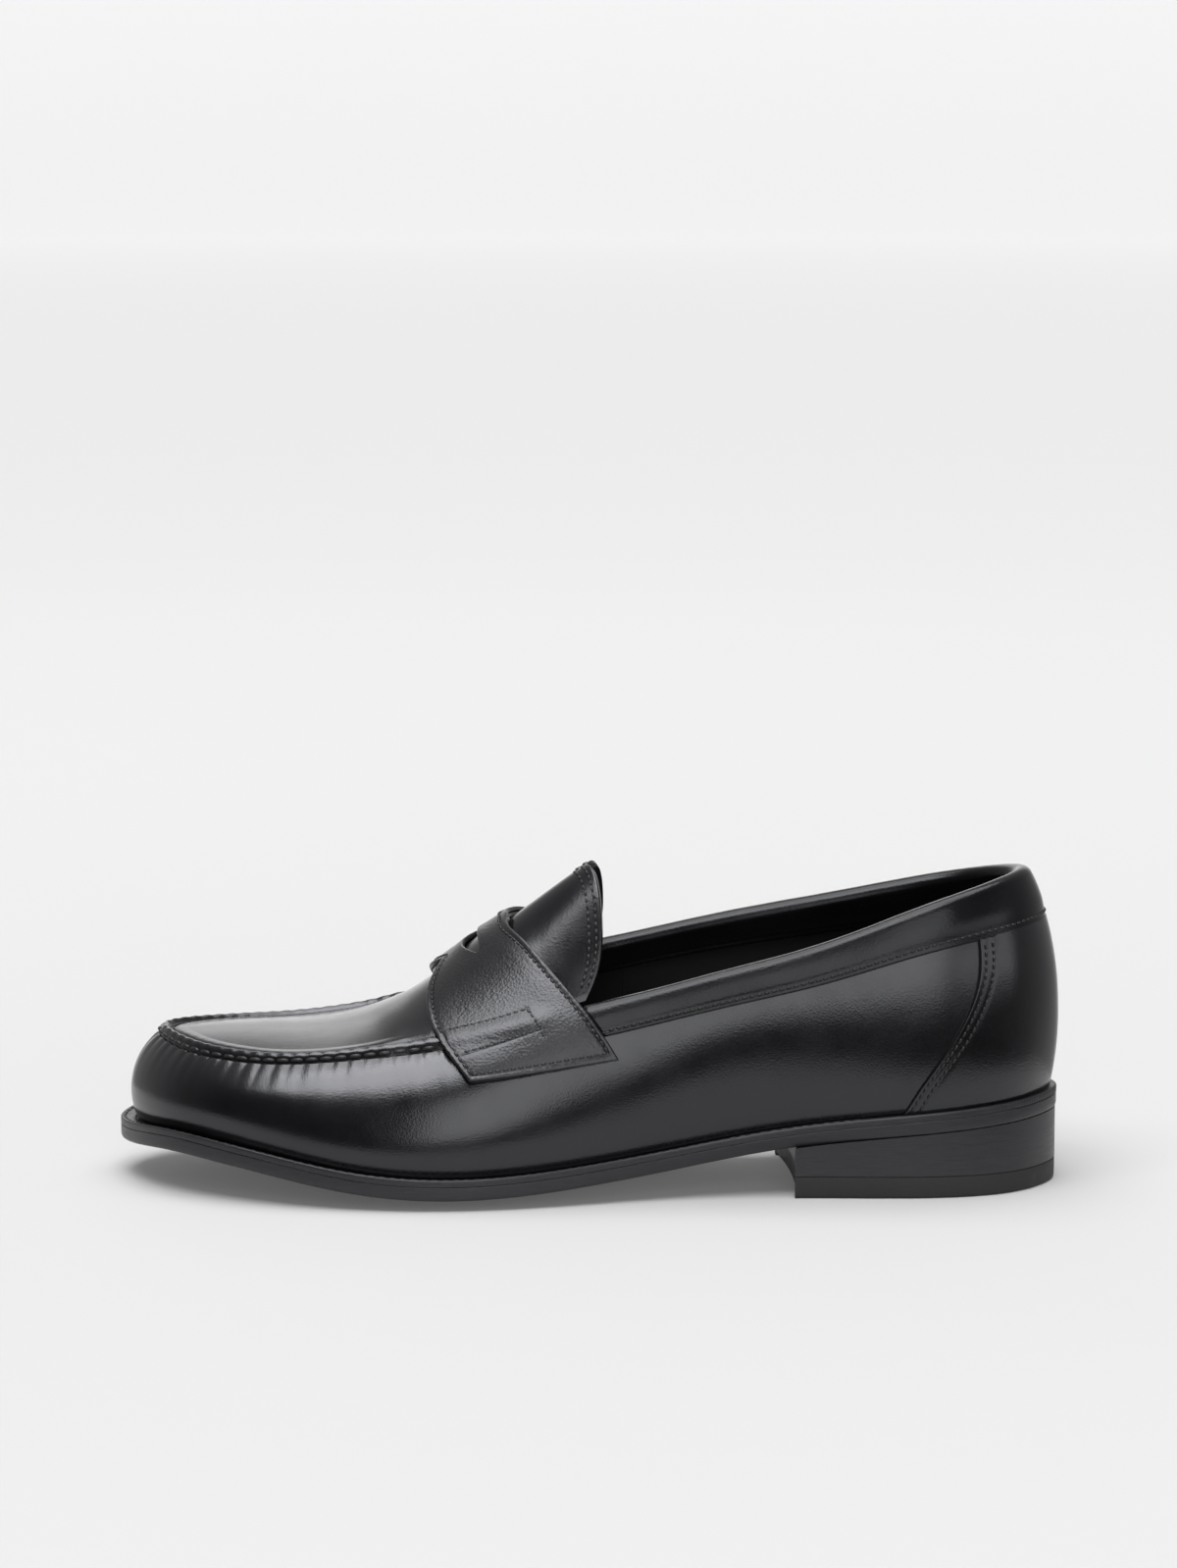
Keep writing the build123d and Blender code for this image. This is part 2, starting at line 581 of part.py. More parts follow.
def upward_normals(points):
    normal = surface_normals(points)
    return normal * np.sign(normal[..., 2:3])


def make_apron():
    parts = {}
    skin = apron_surface(APRON_INSET, tongue_end_x)
    normal = upward_normals(skin)
    parts["apron"] = thick_patch(skin, skin - normal * UPPER_LEATHER)
    under = apron_surface(APRON_LINING_INSET, lambda share: tongue_end_x(share) + 0.6)
    normal = upward_normals(under)
    top = UPPER_LEATHER + GLUE
    parts["apron_lining"] = thick_patch(under - normal * top, under - normal * (top + LINING))
    return parts


def make_seam_threads():
    """Thick thread in the raised seam, and the fine row just inside it on the apron."""
    parts = {}
    row = np.linspace(-SEAM_END, SEAM_END, 61)
    rise = np.full_like(row, SEAM_RISE)
    parts["apron_seam_thread"] = ribbon(wall(row, rise), wall_normal(row, rise), THICK_THREAD)
    parts["apron_edge_stitching"] = ribbon(*apron_line(row, APRON_STITCH_INSET))
    return parts


def apron_line(row, inset):
    """A line on the apron that runs beside its seam, and its normals."""
    here = station(row)[:, 2:4]
    step = unit(station(row + 0.02)[:, 2:4] - station(row - 0.02)[:, 2:4])
    plan = here - np.stack([step[:, 1], -step[:, 0]], axis=-1) * inset
    return on_arch(plan)


def on_arch(plan):
    """Points and normals on the apron's or tongue's face over plan points."""
    height = lambda x, y: arch_z(x, y, tongue_tuck(x))
    x, y = plan[:, 0], plan[:, 1]
    d = 0.05
    slope_x = (height(x + d, y) - height(x - d, y)) / (2 * d)
    slope_y = (height(x, y + d) - height(x, y - d)) / (2 * d)
    normal = unit(np.stack([-slope_x, -slope_y, np.ones_like(x)], axis=-1))
    return np.stack([x, y, height(x, y)], axis=-1), normal


def make_tongue_stitching():
    rows = []
    for back in TONGUE_ROWS:
        side = np.linspace(TONGUE_ROW_END, -TONGUE_ROW_END, 17)
        x = tongue_end_x(np.abs(side)) + back
        y_out, _, _ = edge_at(x, +1)
        y_in, _, _ = edge_at(x, -1)
        y = (y_out + y_in) / 2 + ((y_out - y_in) / 2 - TONGUE_TUCK) * side
        rows.append(ribbon(*on_arch(np.stack([x, y], axis=-1))))
    return {"tongue_stitching": Compound(rows)}


def strap_rib(x):
    """Line over the shoe at station x, from the outer sewn end over the ridge to the inner one."""
    drop = STRAP_DROP[0] - STRAP_DROP[1] * x
    leg_count, over_count = 12, 59
    rises = np.linspace(0.4, 1, 61)
    pieces = []
    for side in (1, -1):
        y, z, row = edge_at(x, side)
        leg = wall(np.full_like(rises, float(row)), rises)
        share = np.interp(z - drop, leg[:, 2], rises)
        pieces.append(wall(np.full(leg_count, float(row)), np.linspace(share, 1, leg_count)))
    plan = np.linspace(pieces[0][-1][:2], pieces[1][-1][:2], over_count + 2)[1:-1]
    over = np.concatenate([plan, arch_z(plan[:, 0], plan[:, 1])[:, None]], axis=-1)
    line = np.concatenate([pieces[0], over, pieces[1][::-1]])
    length = np.concatenate([[0], np.cumsum(np.linalg.norm(np.diff(line, axis=0), axis=1))])
    peak = length[leg_count + over_count // 2]
    share = np.where(length < peak, 1 - length / peak, -(length - peak) / (length[-1] - peak))
    return share, line


STRAP_STEP = 1.0
STRAP_X = np.arange(-14.0, 56.1, STRAP_STEP)
STRAP_SHARE = np.linspace(-1, 1, 81)


def strap_sheet():
    """The saddle surface on a regular grid of x and share across."""
    sheet = []
    for x in STRAP_X:
        share, line = strap_rib(x)
        knots = np.linspace(-1, 1, 21)
        coarse = np.stack([np.interp(knots, share[::-1], line[::-1, i]) for i in range(3)], axis=-1)
        sheet.append(Curve(knots, coarse)(STRAP_SHARE))
    return np.array(sheet)


SADDLE = strap_sheet()
SADDLE_NORMAL = upward_normals(SADDLE)


def on_saddle(x, share, lift):
    """A point over the saddle surface, `lift` above it."""
    x, share = np.broadcast_arrays(np.asarray(x, float), np.asarray(share, float))
    i = np.clip((x - STRAP_X[0]) / STRAP_STEP, 0, len(STRAP_X) - 1.001)
    j = np.clip((share + 1) / 2 * (len(STRAP_SHARE) - 1), 0, len(STRAP_SHARE) - 1.001)
    i0, j0 = i.astype(int), j.astype(int)
    fi, fj = (i - i0)[..., None], (j - j0)[..., None]
    mix = lambda a: ((a[i0, j0] * (1 - fi) + a[i0 + 1, j0] * fi) * (1 - fj)
                     + (a[i0, j0 + 1] * (1 - fi) + a[i0 + 1, j0 + 1] * fi) * fj)
    return mix(SADDLE) + unit(mix(SADDLE_NORMAL)) * lift, unit(mix(SADDLE_NORMAL))


def strap_grid(count=33, across=7):
    share = np.linspace(1, -1, count)
    k = np.linspace(0, 1, across)
    rear = strap_rear_x(np.abs(share))
    front = strap_front_x(np.abs(share))
    x = rear[:, None] + (front - rear)[:, None] * k[None, :]
    return x, np.broadcast_to(share[:, None], x.shape)


def slit_cutter():
    """The pointed slot across the ridge of the strap, hollowed to the rear in its middle."""
    mid_y = float(edge_at(SLIT_X, 1)[0] + edge_at(SLIT_X, -1)[0]) / 2
    tip_out = (SLIT_X - SLIT_SWEEP, mid_y + SLIT_HALF)
    tip_in = (SLIT_X - SLIT_SWEEP, mid_y - SLIT_HALF)
    front = ThreePointArc(tip_out, (SLIT_X + SLIT_LIP, mid_y), tip_in)
    rear = ThreePointArc(tip_in, (SLIT_X - SLIT_OPEN, mid_y), tip_out)
    outline = Face(Wire([front, rear]))
    return Location((0, 0, 40)) * Solid.extrude(outline, Vector(0, 0, 60))


def make_strap():
    """The strap with its slot, and the second layer under it."""
    x, share = strap_grid()
    middle = STRAP_LIFT + STRAP_BACKING
    at = lambda lift: on_saddle(x, share, lift)[0]
    strap = thick_patch(at(STRAP_TOP), at(middle + GLUE)) - slit_cutter()
    return {"strap": strap, "strap_backing": thick_patch(at(middle), at(STRAP_LIFT))}


def make_strap_stitching():
    """The row round the strap's edge, and the box at each of its ends."""
    lines = []
    span = np.linspace(STRAP_STITCH_END, -STRAP_STITCH_END, 41)
    for edge, inward in ((strap_front_x, -1), (strap_rear_x, 1)):
        x = edge(np.abs(span)) + inward * STRAP_STITCH_INSET
        lines.append(ribbon(*on_saddle(x, span, STRAP_TOP)))
    rear = strap_rear_x(STRAP_STITCH_END) + STRAP_STITCH_INSET
    front = strap_front_x(STRAP_STITCH_END) - STRAP_STITCH_INSET
    boxes = []
    for side in (1, -1):
        x = np.linspace(rear, front, 9)
        lines.append(ribbon(*on_saddle(x, side * STRAP_STITCH_END, STRAP_TOP)))
        for a, b in zip(STRAP_BOX, STRAP_BOX[1:]):
            x, share = Curve([0, 1], [a, b])(np.linspace(0.03, 0.97, 6)).T
            boxes.append(ribbon(*on_saddle(x, side * share, STRAP_TOP)))
    return {"strap_stitching": Compound(lines), "strap_box_stitching": Compound(boxes)}


def make_outsole_stitching():
    """The row that goes through welt and outsole, seen on the ledge."""
    row = np.linspace(-WELT_ROW_END, WELT_ROW_END, 61)
    here, outward = feather(row)
    plan = here + outward * (ledge_width(row % ROWS)[:, None] - WELT_ROW_INSET)
    height = sole_z(plan[:, 0], plan[:, 1], OUTSOLE_THICK + WELT_THICK)
    line = np.concatenate([plan, height[:, None]], axis=-1)
    return {"outsole_stitching": ribbon(line, np.tile(UP, (len(row), 1)))}


def main():
    os.makedirs("parts", exist_ok=True)
    parts = {}
    for make in (make_sole, make_heel, make_outsole_stitching, make_wall_layers, make_heel_cover,
                 make_collar, make_apron, make_seam_threads, make_tongue_stitching, make_strap,
                 make_strap_stitching):
        parts.update(make())
    for name, shape in parts.items():
        export_step(Location(PLACE) * shape, f"parts/{name}.step")


main()
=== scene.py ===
import math

import bmesh
import bpy
import numpy as np
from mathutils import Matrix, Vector


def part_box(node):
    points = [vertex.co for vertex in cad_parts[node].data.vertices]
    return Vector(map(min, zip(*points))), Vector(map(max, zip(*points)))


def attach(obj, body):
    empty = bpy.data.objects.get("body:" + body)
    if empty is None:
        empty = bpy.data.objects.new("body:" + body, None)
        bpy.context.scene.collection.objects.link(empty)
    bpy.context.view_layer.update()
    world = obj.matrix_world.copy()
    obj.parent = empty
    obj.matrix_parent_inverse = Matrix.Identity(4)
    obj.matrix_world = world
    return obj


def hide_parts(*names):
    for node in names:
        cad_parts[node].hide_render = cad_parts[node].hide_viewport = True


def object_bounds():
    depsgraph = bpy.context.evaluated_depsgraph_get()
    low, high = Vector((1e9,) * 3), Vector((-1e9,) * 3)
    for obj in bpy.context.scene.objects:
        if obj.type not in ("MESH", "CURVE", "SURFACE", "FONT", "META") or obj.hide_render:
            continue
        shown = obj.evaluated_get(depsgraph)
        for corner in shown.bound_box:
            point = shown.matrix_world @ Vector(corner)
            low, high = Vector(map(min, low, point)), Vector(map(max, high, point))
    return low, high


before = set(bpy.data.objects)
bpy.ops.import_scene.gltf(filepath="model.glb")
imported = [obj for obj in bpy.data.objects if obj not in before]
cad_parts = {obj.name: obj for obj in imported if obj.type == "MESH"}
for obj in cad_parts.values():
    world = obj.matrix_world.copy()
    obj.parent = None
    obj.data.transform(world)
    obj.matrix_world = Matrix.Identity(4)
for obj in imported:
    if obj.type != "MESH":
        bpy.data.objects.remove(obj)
CAD_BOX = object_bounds()

# Penny loafer, left foot. Tables and shapes are in millimetres, in the frame of the last that the shoe
# is built on: +X to the toe, +Y to the outer side, +Z up. place() moves them into the CAD's frame.

# ---------------------------------------------------------------- driving dimensions
OUTSOLE_THICK = 4.3
WELT_THICK = 2.2
TOP_PIECE_THICK = 7.0
HEEL_LIFTS = 3
UPPER_LEATHER = 1.4
LINING = 0.9
GLUE = 0.1
SANDWICH = 3.3               # outer face of the wall to the inner face of its lining
STRAP_LIFT = 0.4             # underside of the strap's backing over the saddle surface
STRAP_BACKING = 1.3
STRAP_LEATHER = 1.5
BINDING = 1.1
COVER_LEATHER = 1.1
GRIP = 0.7
INSOLE_THICK = 2.6
SOCK = 0.8
INSOLE_PLAY = 0.35           # free space between the insole and the linings
LINING_SPLIT = 7.9           # station row where the fore lining ends
LINING_GAP = 0.004
SIDE_LINING_TOP = 0.985      # share of the wall's height where each lining ends
FORE_LINING_TOP = 0.93
GRIP_ROWS = 2.2              # the heel patch: station rows to each side, and its rise on the wall
GRIP_RISE = (0.18, 0.78)
WALL_FLOOR = 0.27            # length of the wall's lower and upper handles, as a share of its height
WALL_SHOULDER = 0.30

# The last, station by station, from the toe tip along the outer side to the heel (row 14), then along
# the inner side to the toe: feather line x, y; upper edge of the wall x, y, z; fullness low and high.
STATIONS = [
    (140.8, -8.0, 133.2, -8.0, 45.0, 3.2, 10.6),
    (136.8, 6.0, 129.6, 3.5, 44.4, 3.2, 10.4),
    (127.5, 20.0, 121.0, 15.0, 43.2, 3.2, 10.2),
    (113.0, 31.0, 108.0, 23.8, 42.4, 3.3, 11.4),
    (93.0, 40.0, 90.5, 29.8, 42.7, 3.3, 11.8),
    (66.0, 46.3, 66.0, 32.8, 45.1, 3.4, 12.4),
    (38.0, 46.8, 39.0, 34.2, 48.8, 3.5, 12.2),
    (12.0, 42.0, 13.0, 33.8, 54.5, 3.2, 9.0),
    (-14.0, 35.2, -14.0, 31.5, 60.8, 3.0, 7.6),
    (-42.0, 30.6, -42.0, 30.2, 68.0, 3.2, 7.4),
    (-72.0, 29.8, -71.0, 28.4, 75.7, 3.6, 7.6),
    (-101.0, 30.2, -98.0, 27.0, 85.4, 4.0, 7.6),
    (-124.0, 25.2, -118.0, 22.3, 91.8, 4.8, 8.6),
    (-137.1, 13.8, -130.8, 12.0, 94.7, 4.2, 9.6),
    (-142.3, 0.0, -135.6, 0.0, 95.4, 4.2, 10.0),
    (-137.1, -13.5, -130.8, -12.0, 94.0, 4.2, 9.6),
    (-124.0, -23.6, -118.0, -21.8, 91.0, 4.6, 8.4),
    (-101.0, -28.3, -98.0, -26.6, 86.8, 4.0, 7.2),
    (-70.0, -27.4, -70.0, -28.2, 81.2, 4.2, 6.4),
    (-40.0, -26.8, -41.0, -29.6, 75.4, 4.4, 5.8),
    (-12.0, -31.2, -13.0, -31.0, 69.0, 4.0, 6.2),
    (14.0, -39.2, 13.0, -32.3, 62.8, 3.6, 8.0),
    (40.0, -46.2, 40.0, -34.7, 55.2, 3.4, 10.0),
    (66.0, -49.3, 66.0, -36.3, 47.6, 3.3, 10.2),
    (91.0, -47.2, 90.0, -36.0, 44.0, 3.3, 10.0),
    (112.5, -40.3, 108.0, -32.3, 43.5, 3.3, 10.0),
    (128.5, -30.5, 121.0, -25.5, 44.0, 3.2, 10.2),
    (137.6, -20.0, 129.8, -17.5, 44.7, 3.2, 10.4),
]
ROWS = len(STATIONS)
HEEL_ROW = 14
# Bottom face of the outsole along the middle, and how it curls up to its sides
TREAD = [(-146, 23.0), (-100, 20.3), (-60, 15.2), (-20, 6.6), (10, 1.7), (42, 0.0), (75, 2.4),
         (106, 7.6), (146, 11.2)]
CROWN = [(-146, 0.0), (-60, 0.0), (-10, 2.7), (40, 3.3), (90, 3.3), (146, 3.0)]
HALF_WIDTH = [(-146, 33.0), (-60, 33.0), (0, 41.0), (50, 52.0), (92, 47.4), (113, 39.0),
              (130, 29.0), (146, 25.0)]
MIDDLE = [(-146, 0.0), (-60, 1.5), (0, 1.5), (60, -1.5), (146, -8.0)]
# Ridge of the apron and the tongue
RIDGE = [(-8, 104.4), (0, 98.8), (24, 80.8), (50, 61.2), (64, 53.0), (74, 49.4), (86, 47.6),
         (103, 46.9), (120, 46.3), (133.2, 45.0)]
ARCH_SHOULDER = 1.3
# Ledge of the sole outside the feather line, by station row
LEDGE = [(0, 5.2), (3, 4.4), (6, 4.0), (9, 3.4), (11, 2.9), (14, 3.2), (17, 2.9), (19, 3.4),
         (22, 4.0), (25, 4.4), (28, 5.2)]
# Outline of the strap on each side, from the ridge (0) to its sewn end (1)
STRAP_FRONT = [(0.0, 43.4), (0.1, 45.8), (0.3, 48.2), (0.5, 48.0), (0.7, 45.6), (0.85, 41.6),
               (1.0, 36.8)]
STRAP_REAR = [(0.0, 23.6), (0.1, 23.6), (0.27, 19.2), (0.5, 11.5), (0.75, 1.6), (1.0, -8.1)]
STRAP_DROP = (14.6, 0.086)
SLIT_X = 36.0
SLIT_TIP = 0.2               # share across where the slit ends
SLIT_SWEEP = 3.6             # how far its tips lie behind its middle
RIB_HALF = 84.0              # what one share across counts as, in distances from the strap's ends
SLIT_OPEN = 4.6
TONGUE_TUCK = 6.8
TUCK_FROM = 46.0
TUCK_FULL = 14.0
TONGUE_INSET = 1.3           # its edges inside the wall's upper edge, besides the tuck
TONGUE_ROWS = (1.7, 3.9)     # its two rows of stitches, in from the free end
TONGUE_END = [(0.0, 0.4), (0.35, -2.8), (0.65, -4.2), (0.9, -2.4), (1.0, 0.5)]
SEAM_END = 5.9               # station row where the raised seam runs under the strap
HEEL_BREAST = (-61.5, -57.0)
BREAST_HOLLOW = 3.5
COVER_EDGE = [(0.0, 10.83), (0.2, 11.03), (0.4, 11.33), (0.6, 11.64), (0.8, 11.86), (1.0, 11.93)]
COLLAR_START = 7.45          # station row where the binding comes out from under the strap
COLLAR_SLANT = 0.17          # its end follows the strap's rear edge
COLLAR_STITCH = 1.9          # its stitches, in from its edge
WALL_HEIGHT_TYPICAL = 60.0   # height of the wall along the top line, for turning millimetres into shares
COVER_ROWS = (1.8, 4.4)      # the heel cover's two rows of stitches, in from its edge
STRAP_ROW = 1.9              # the strap's edge stitches, in from its edge
STRAP_ROW_END = 0.963        # share from the ridge where they turn
THREAD_SUNK = 0.12           # how deep the middle of a fine thread lies in the leather
COLLAR_DROP = [(7.6, 7.4), (10.0, 9.5), (12.0, 12.6), (14.0, 13.6), (16.0, 12.6), (18.0, 9.5),
               (20.4, 7.4)]
# Section of the raised seam: inset from the wall's upper edge, height over the apron
SEAM_SECTION = [(-0.62, -1.35), (-0.42, -0.45), (-0.1, 0.5), (0.25, 1.2), (0.7, 1.66), (1.25, 1.84),
                (1.8, 1.66), (2.3, 1.12), (2.8, 0.42), (3.3, -0.05), (3.8, -0.16), (4.4, 0.0),
                (5.2, 0.2), (6.4, 0.2), (8.0, 0.0)]
SEAM_PITCH = 4.5
BEAD_PITCH = 1.45
BEAD_INSET = 3.55
FINE_PITCH = 2.3
# Relief of the leather: depth and reach
SEAM_GROOVE = (1.0, 0.95)
PLEATS = (0.32, 4.0)
CREASES = (0.05, 11.5)           # depth, and length of one wave along the seam
APRON_FOLD = (0.18, 58.0, 9.0)   # depth, x and reach of the folds in front of the strap
STRAP_GROOVE = (0.22, 0.75)
BOX_GROOVE = (0.14, 0.6)
COLLAR_GROOVE = (0.34, 0.9)
COLLAR_PADDING = 0.35
COVER_GROOVE = (0.20, 0.8)
SLIT_LIPS = (0.55, 3.0)
SEAM_UNDER_STRAP = (0.7, 3.0)
MERGE = 2e-7                     # points closer than this become one: metres, on the shoe
STAGE_MERGE = 1e-5               # and on the floor
SHARP_ANGLE = 40.0
UP = np.array([0.0, 0.0, 1.0])


# ---------------------------------------------------------------- curves and small functions
class Curve:
    """A cubic spline through points at given knots, open with free ends or closed."""

    def __init__(self, knots, points, period=None):
        self.period = period
        self.k = np.asarray(knots, float)
        self.p = np.atleast_2d(np.asarray(points, float).T).T
        if period is not None:
            self.k = np.append(self.k, self.k[0] + period)
            self.p = np.vstack([self.p, self.p[:1]])
        h = np.diff(self.k)
        slope = np.diff(self.p, axis=0) / h[:, None]
        n = len(self.k)
        a = np.eye(n)
        b = np.zeros_like(self.p)
        for i in range(1, n - 1):
            a[i, i - 1:i + 2] = h[i - 1], 2 * (h[i - 1] + h[i]), h[i]
            b[i] = 6 * (slope[i] - slope[i - 1])
        if period is not None:
            a[0] = 0
            a[0, 0] = 2 * (h[0] + h[-1])
            a[0, 1] = h[0]
            a[0, -2] += h[-1]
            b[0] = 6 * (slope[0] - slope[-1])
            a[-1, 0] = -1
        self.m = np.linalg.solve(a, b)

    def __call__(self, u):
        u = np.asarray(u, float)
        if self.period is not None:
            u = (u - self.k[0]) % self.period + self.k[0]
        i = np.clip(np.searchsorted(self.k, u, side="right") - 1, 0, len(self.k) - 2)
        h = (self.k[i + 1] - self.k[i])[..., None]
        t = (u - self.k[i])[..., None]
        s = h - t
        value = (self.m[i] * s ** 3 + self.m[i + 1] * t ** 3) / (6 * h)
        value += (self.p[i] / h - self.m[i] * h / 6) * s
        value += (self.p[i + 1] / h - self.m[i + 1] * h / 6) * t
        return value


def profile(pairs):
    """A smooth function through (x, value) pairs."""
    curve = Curve([p[0] for p in pairs], [p[1] for p in pairs])
    return lambda x: curve(x)[..., 0]


def unit(v):
    return v / np.maximum(np.linalg.norm(v, axis=-1, keepdims=True), 1e-12)


def smooth_step(x, start, end):
    t = np.clip((x - start) / (end - start), 0.0, 1.0)
    return t * t * (3 - 2 * t)


def bell(x, width):
    return np.exp(-(x / width) ** 2)


def groove(x, depth_and_reach):
    """Depth of a round groove, or height of a round ridge, at a distance x from its middle."""
    depth, reach = depth_and_reach
    return depth * bell(x, reach)


def waves(points, size, seed):
    """Soft random relief from about -1 to 1, whose bumps are `size` millimetres wide."""
    draw = np.random.default_rng(seed)
    total = np.zeros(points.shape[:-1])
    for _ in range(8):
        direction = unit(draw.normal(size=3)) * draw.uniform(0.6, 1.3) * math.pi / size
        total += np.sin(points @ direction + draw.uniform(0, 2 * math.pi))
    return total / 4


def arc_length(line):
    """Length along a line of points, from its start, over axis -2."""
    steps = np.linalg.norm(np.diff(line, axis=-2), axis=-1)
    start = np.zeros(steps.shape[:-1] + (1,))
    return np.concatenate([start, np.cumsum(steps, axis=-1)], axis=-1)


tread_z = profile(TREAD)
crown_rise = profile(CROWN)
half_width = profile(HALF_WIDTH)
middle_y = profile(MIDDLE)
ridge_z = profile(RIDGE)
strap_front_x = profile(STRAP_FRONT)
strap_rear_x = profile(STRAP_REAR)
tongue_end_x = profile(TONGUE_END)
cover_edge_row = profile(COVER_EDGE)
collar_drop = profile(COLLAR_DROP)
ledge_width = profile(LEDGE)
station = Curve(range(ROWS), STATIONS, period=ROWS)


# ---------------------------------------------------------------- the last's surfaces
def sole_z(x, y, height=0.0):
    """Height of the layer that lies `height` above the bottom face of the outsole."""
    across = (y - middle_y(x)) / half_width(x)
    return tread_z(x) + crown_rise(x) * across ** 2 + height


def plan_outward(row, first):
    """Plan point from the stations' columns first and first + 1, and its outward direction."""
    step = 0.01
    pick = slice(first, first + 2)
    along = unit(station(row + step)[..., pick] - station(row - step)[..., pick])
    return station(row)[..., pick], np.stack([along[..., 1], -along[..., 0]], axis=-1)


def feather(row):
    return plan_outward(row, 0)


def sole_outline(row, extra=0.0):
    """Plan point of the sole's edge, moved in by `extra`."""
    here, outward = feather(row)
    return here + outward * (ledge_width(np.asarray(row, float) % ROWS) - extra)[..., None]


def wall(row, rise):
    """Outer face of the wall: station row, and 0 at the feather line to 1 at the upper edge."""
    row, rise = np.broadcast_arrays(np.asarray(row, float), np.asarray(rise, float))
    s = station(row)
    foot_xy, outward = feather(row)
    foot_z = sole_z(foot_xy[..., 0], foot_xy[..., 1], OUTSOLE_THICK + WELT_THICK + GLUE)
    p0 = np.concatenate([foot_xy, foot_z[..., None]], axis=-1)
    p3 = s[..., 2:5]
    high = (p3[..., 2] - p0[..., 2])[..., None]
    out = np.concatenate([outward, np.zeros_like(high)], axis=-1)
    p1 = p0 + out * s[..., 5:6] + UP * high * WALL_FLOOR
    p2 = p3 + out * s[..., 6:7] - UP * high * WALL_SHOULDER
    t = rise[..., None]
    return (1 - t) ** 3 * p0 + 3 * (1 - t) ** 2 * t * p1 + 3 * (1 - t) * t ** 2 * p2 + t ** 3 * p3


def wall_normal(row, rise):
    step = 0.004
    low = np.clip(rise - step, 0, 1)
    high = np.clip(rise + step, 0, 1)
    across = wall(row + 0.02, rise) - wall(row - 0.02, rise)
    return unit(np.cross(across, wall(row, high) - wall(row, low)))


side_rows = {+1: np.linspace(0, HEEL_ROW, 2801), -1: np.linspace(ROWS, HEEL_ROW, 2801)}
side_edges = {side: station(rows)[:, 2:5] for side, rows in side_rows.items()}


def edge_at(x, side):
    """Y, Z and station row of the wall's upper edge at x, on the outer (+1) or inner (-1) side."""
    edge = side_edges[side]
    order = -edge[:, 0]
    return tuple(np.interp(-np.asarray(x), order, c) for c in (edge[:, 1], edge[:, 2], side_rows[side]))


def opening(x):
    """Middle and half width of the opening between the wall's upper edges at x."""
    y_out = edge_at(x, +1)[0]
    y_in = edge_at(x, -1)[0]
    return (y_out + y_in) / 2, (y_out - y_in) / 2


def tongue_tuck(x):
    return TONGUE_TUCK * smooth_step(-x, -TUCK_FROM, -TUCK_FULL)


def arch_z(x, y, tuck=0.0):
    """Height of the arch over the instep that springs from the wall's upper edges."""
    y_out, z_out, _ = edge_at(x, +1)
    y_in, z_in, _ = edge_at(x, -1)
    half = np.maximum((y_out - y_in) / 2, 0.3) - tuck
    mid = (y_out + y_in) / 2
    s = (y - mid) / half
    base = (z_out + z_in) / 2 + (z_out - z_in) / 2 * s
    hill = ridge_z(x) - (z_out + z_in) / 2
    return base + hill * (1 - ARCH_SHOULDER * s ** 2 + (ARCH_SHOULDER - 1) * s ** 4)


def collar_rise(row):
    """Rise of the binding's lower edge at each station row."""
    row = np.asarray(row, float)
    rises = np.linspace(0.5, 1, 401)
    rows = np.linspace(COLLAR_START - 0.3, ROWS - COLLAR_START + 0.3, 161)
    heights = wall(rows[:, None], rises)[..., 2]
    want = heights[:, -1] - collar_drop(rows)
    found = [np.interp(w, h, rises) for h, w in zip(heights, want)]
    return Curve(rows, found)(row)[..., 0]


# The signed length along the raised seam, from the toe tip, as a function of station row
seam_rows = np.linspace(-7, 7, 1401)
seam_arc = arc_length(station(seam_rows)[:, 2:5])
seam_arc -= seam_arc[len(seam_rows) // 2]


def seam_length(row):
    return np.interp(row, seam_rows, seam_arc)


def stitch_phase(row):
    """0 in the middle of each hand stitch of the raised seam, 0.5 between two stitches."""
    return seam_length(row) / SEAM_PITCH


# ---------------------------------------------------------------- into the CAD's frame
def frame_fit():
    """Scale and offset that lay the sole's outline into the box of the CAD's outsole."""
    low, high = (np.array(c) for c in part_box("outsole"))
    ground = np.array(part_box("top_piece")[0])[2]
    outline = sole_outline(np.linspace(0, ROWS, 4001))
    scale = (high[0] - low[0]) / np.ptp(outline[:, 0])
    middle = (outline.max(axis=0) + outline.min(axis=0)) / 2
    offset = np.append((low + high)[:2] / 2 - middle * scale, ground)
    return scale, offset


MM, ORIGIN = frame_fit()


def place(points):
    return points * MM + ORIGIN


# ---------------------------------------------------------------- meshes
def grid_faces(rows, columns, closed=False):
    """Quads of a rows x columns grid of points, joined up after the last row if closed."""
    index = np.arange(rows * columns).reshape(rows, columns)
    if closed:
        index = np.vstack([index, index[:1]])
    quads = np.stack([index[:-1, :-1], index[1:, :-1], index[1:, 1:], index[:-1, 1:]], axis=-1)
    return quads.reshape(-1, 4)


def welded(points, faces):
    """Merges points that lie in one place. Returns points, faces, and which points were kept."""
    _, first, inverse = np.unique(np.round(points, 4), axis=0, return_index=True, return_inverse=True)
    return points[first], np.ravel(inverse)[faces], first


def joined(*parts):
    """Several (points, faces) as one."""
    points, faces, base = [], [], 0
    for p, f in parts:
        points.append(p.reshape(-1, 3))
        faces.append(f + base)
        base += points[-1].shape[0]
    return np.concatenate(points), np.concatenate(faces)


def point_normals(points, faces):
    """Normals at the points of a mesh, from its faces."""
    a, b, c, d = (points[faces[:, i]] for i in range(4))
    face = np.cross(c - a, d - b)
    total = np.zeros_like(points)
    for i in range(4):
        np.add.at(total, faces[:, i], face)
    return unit(total)


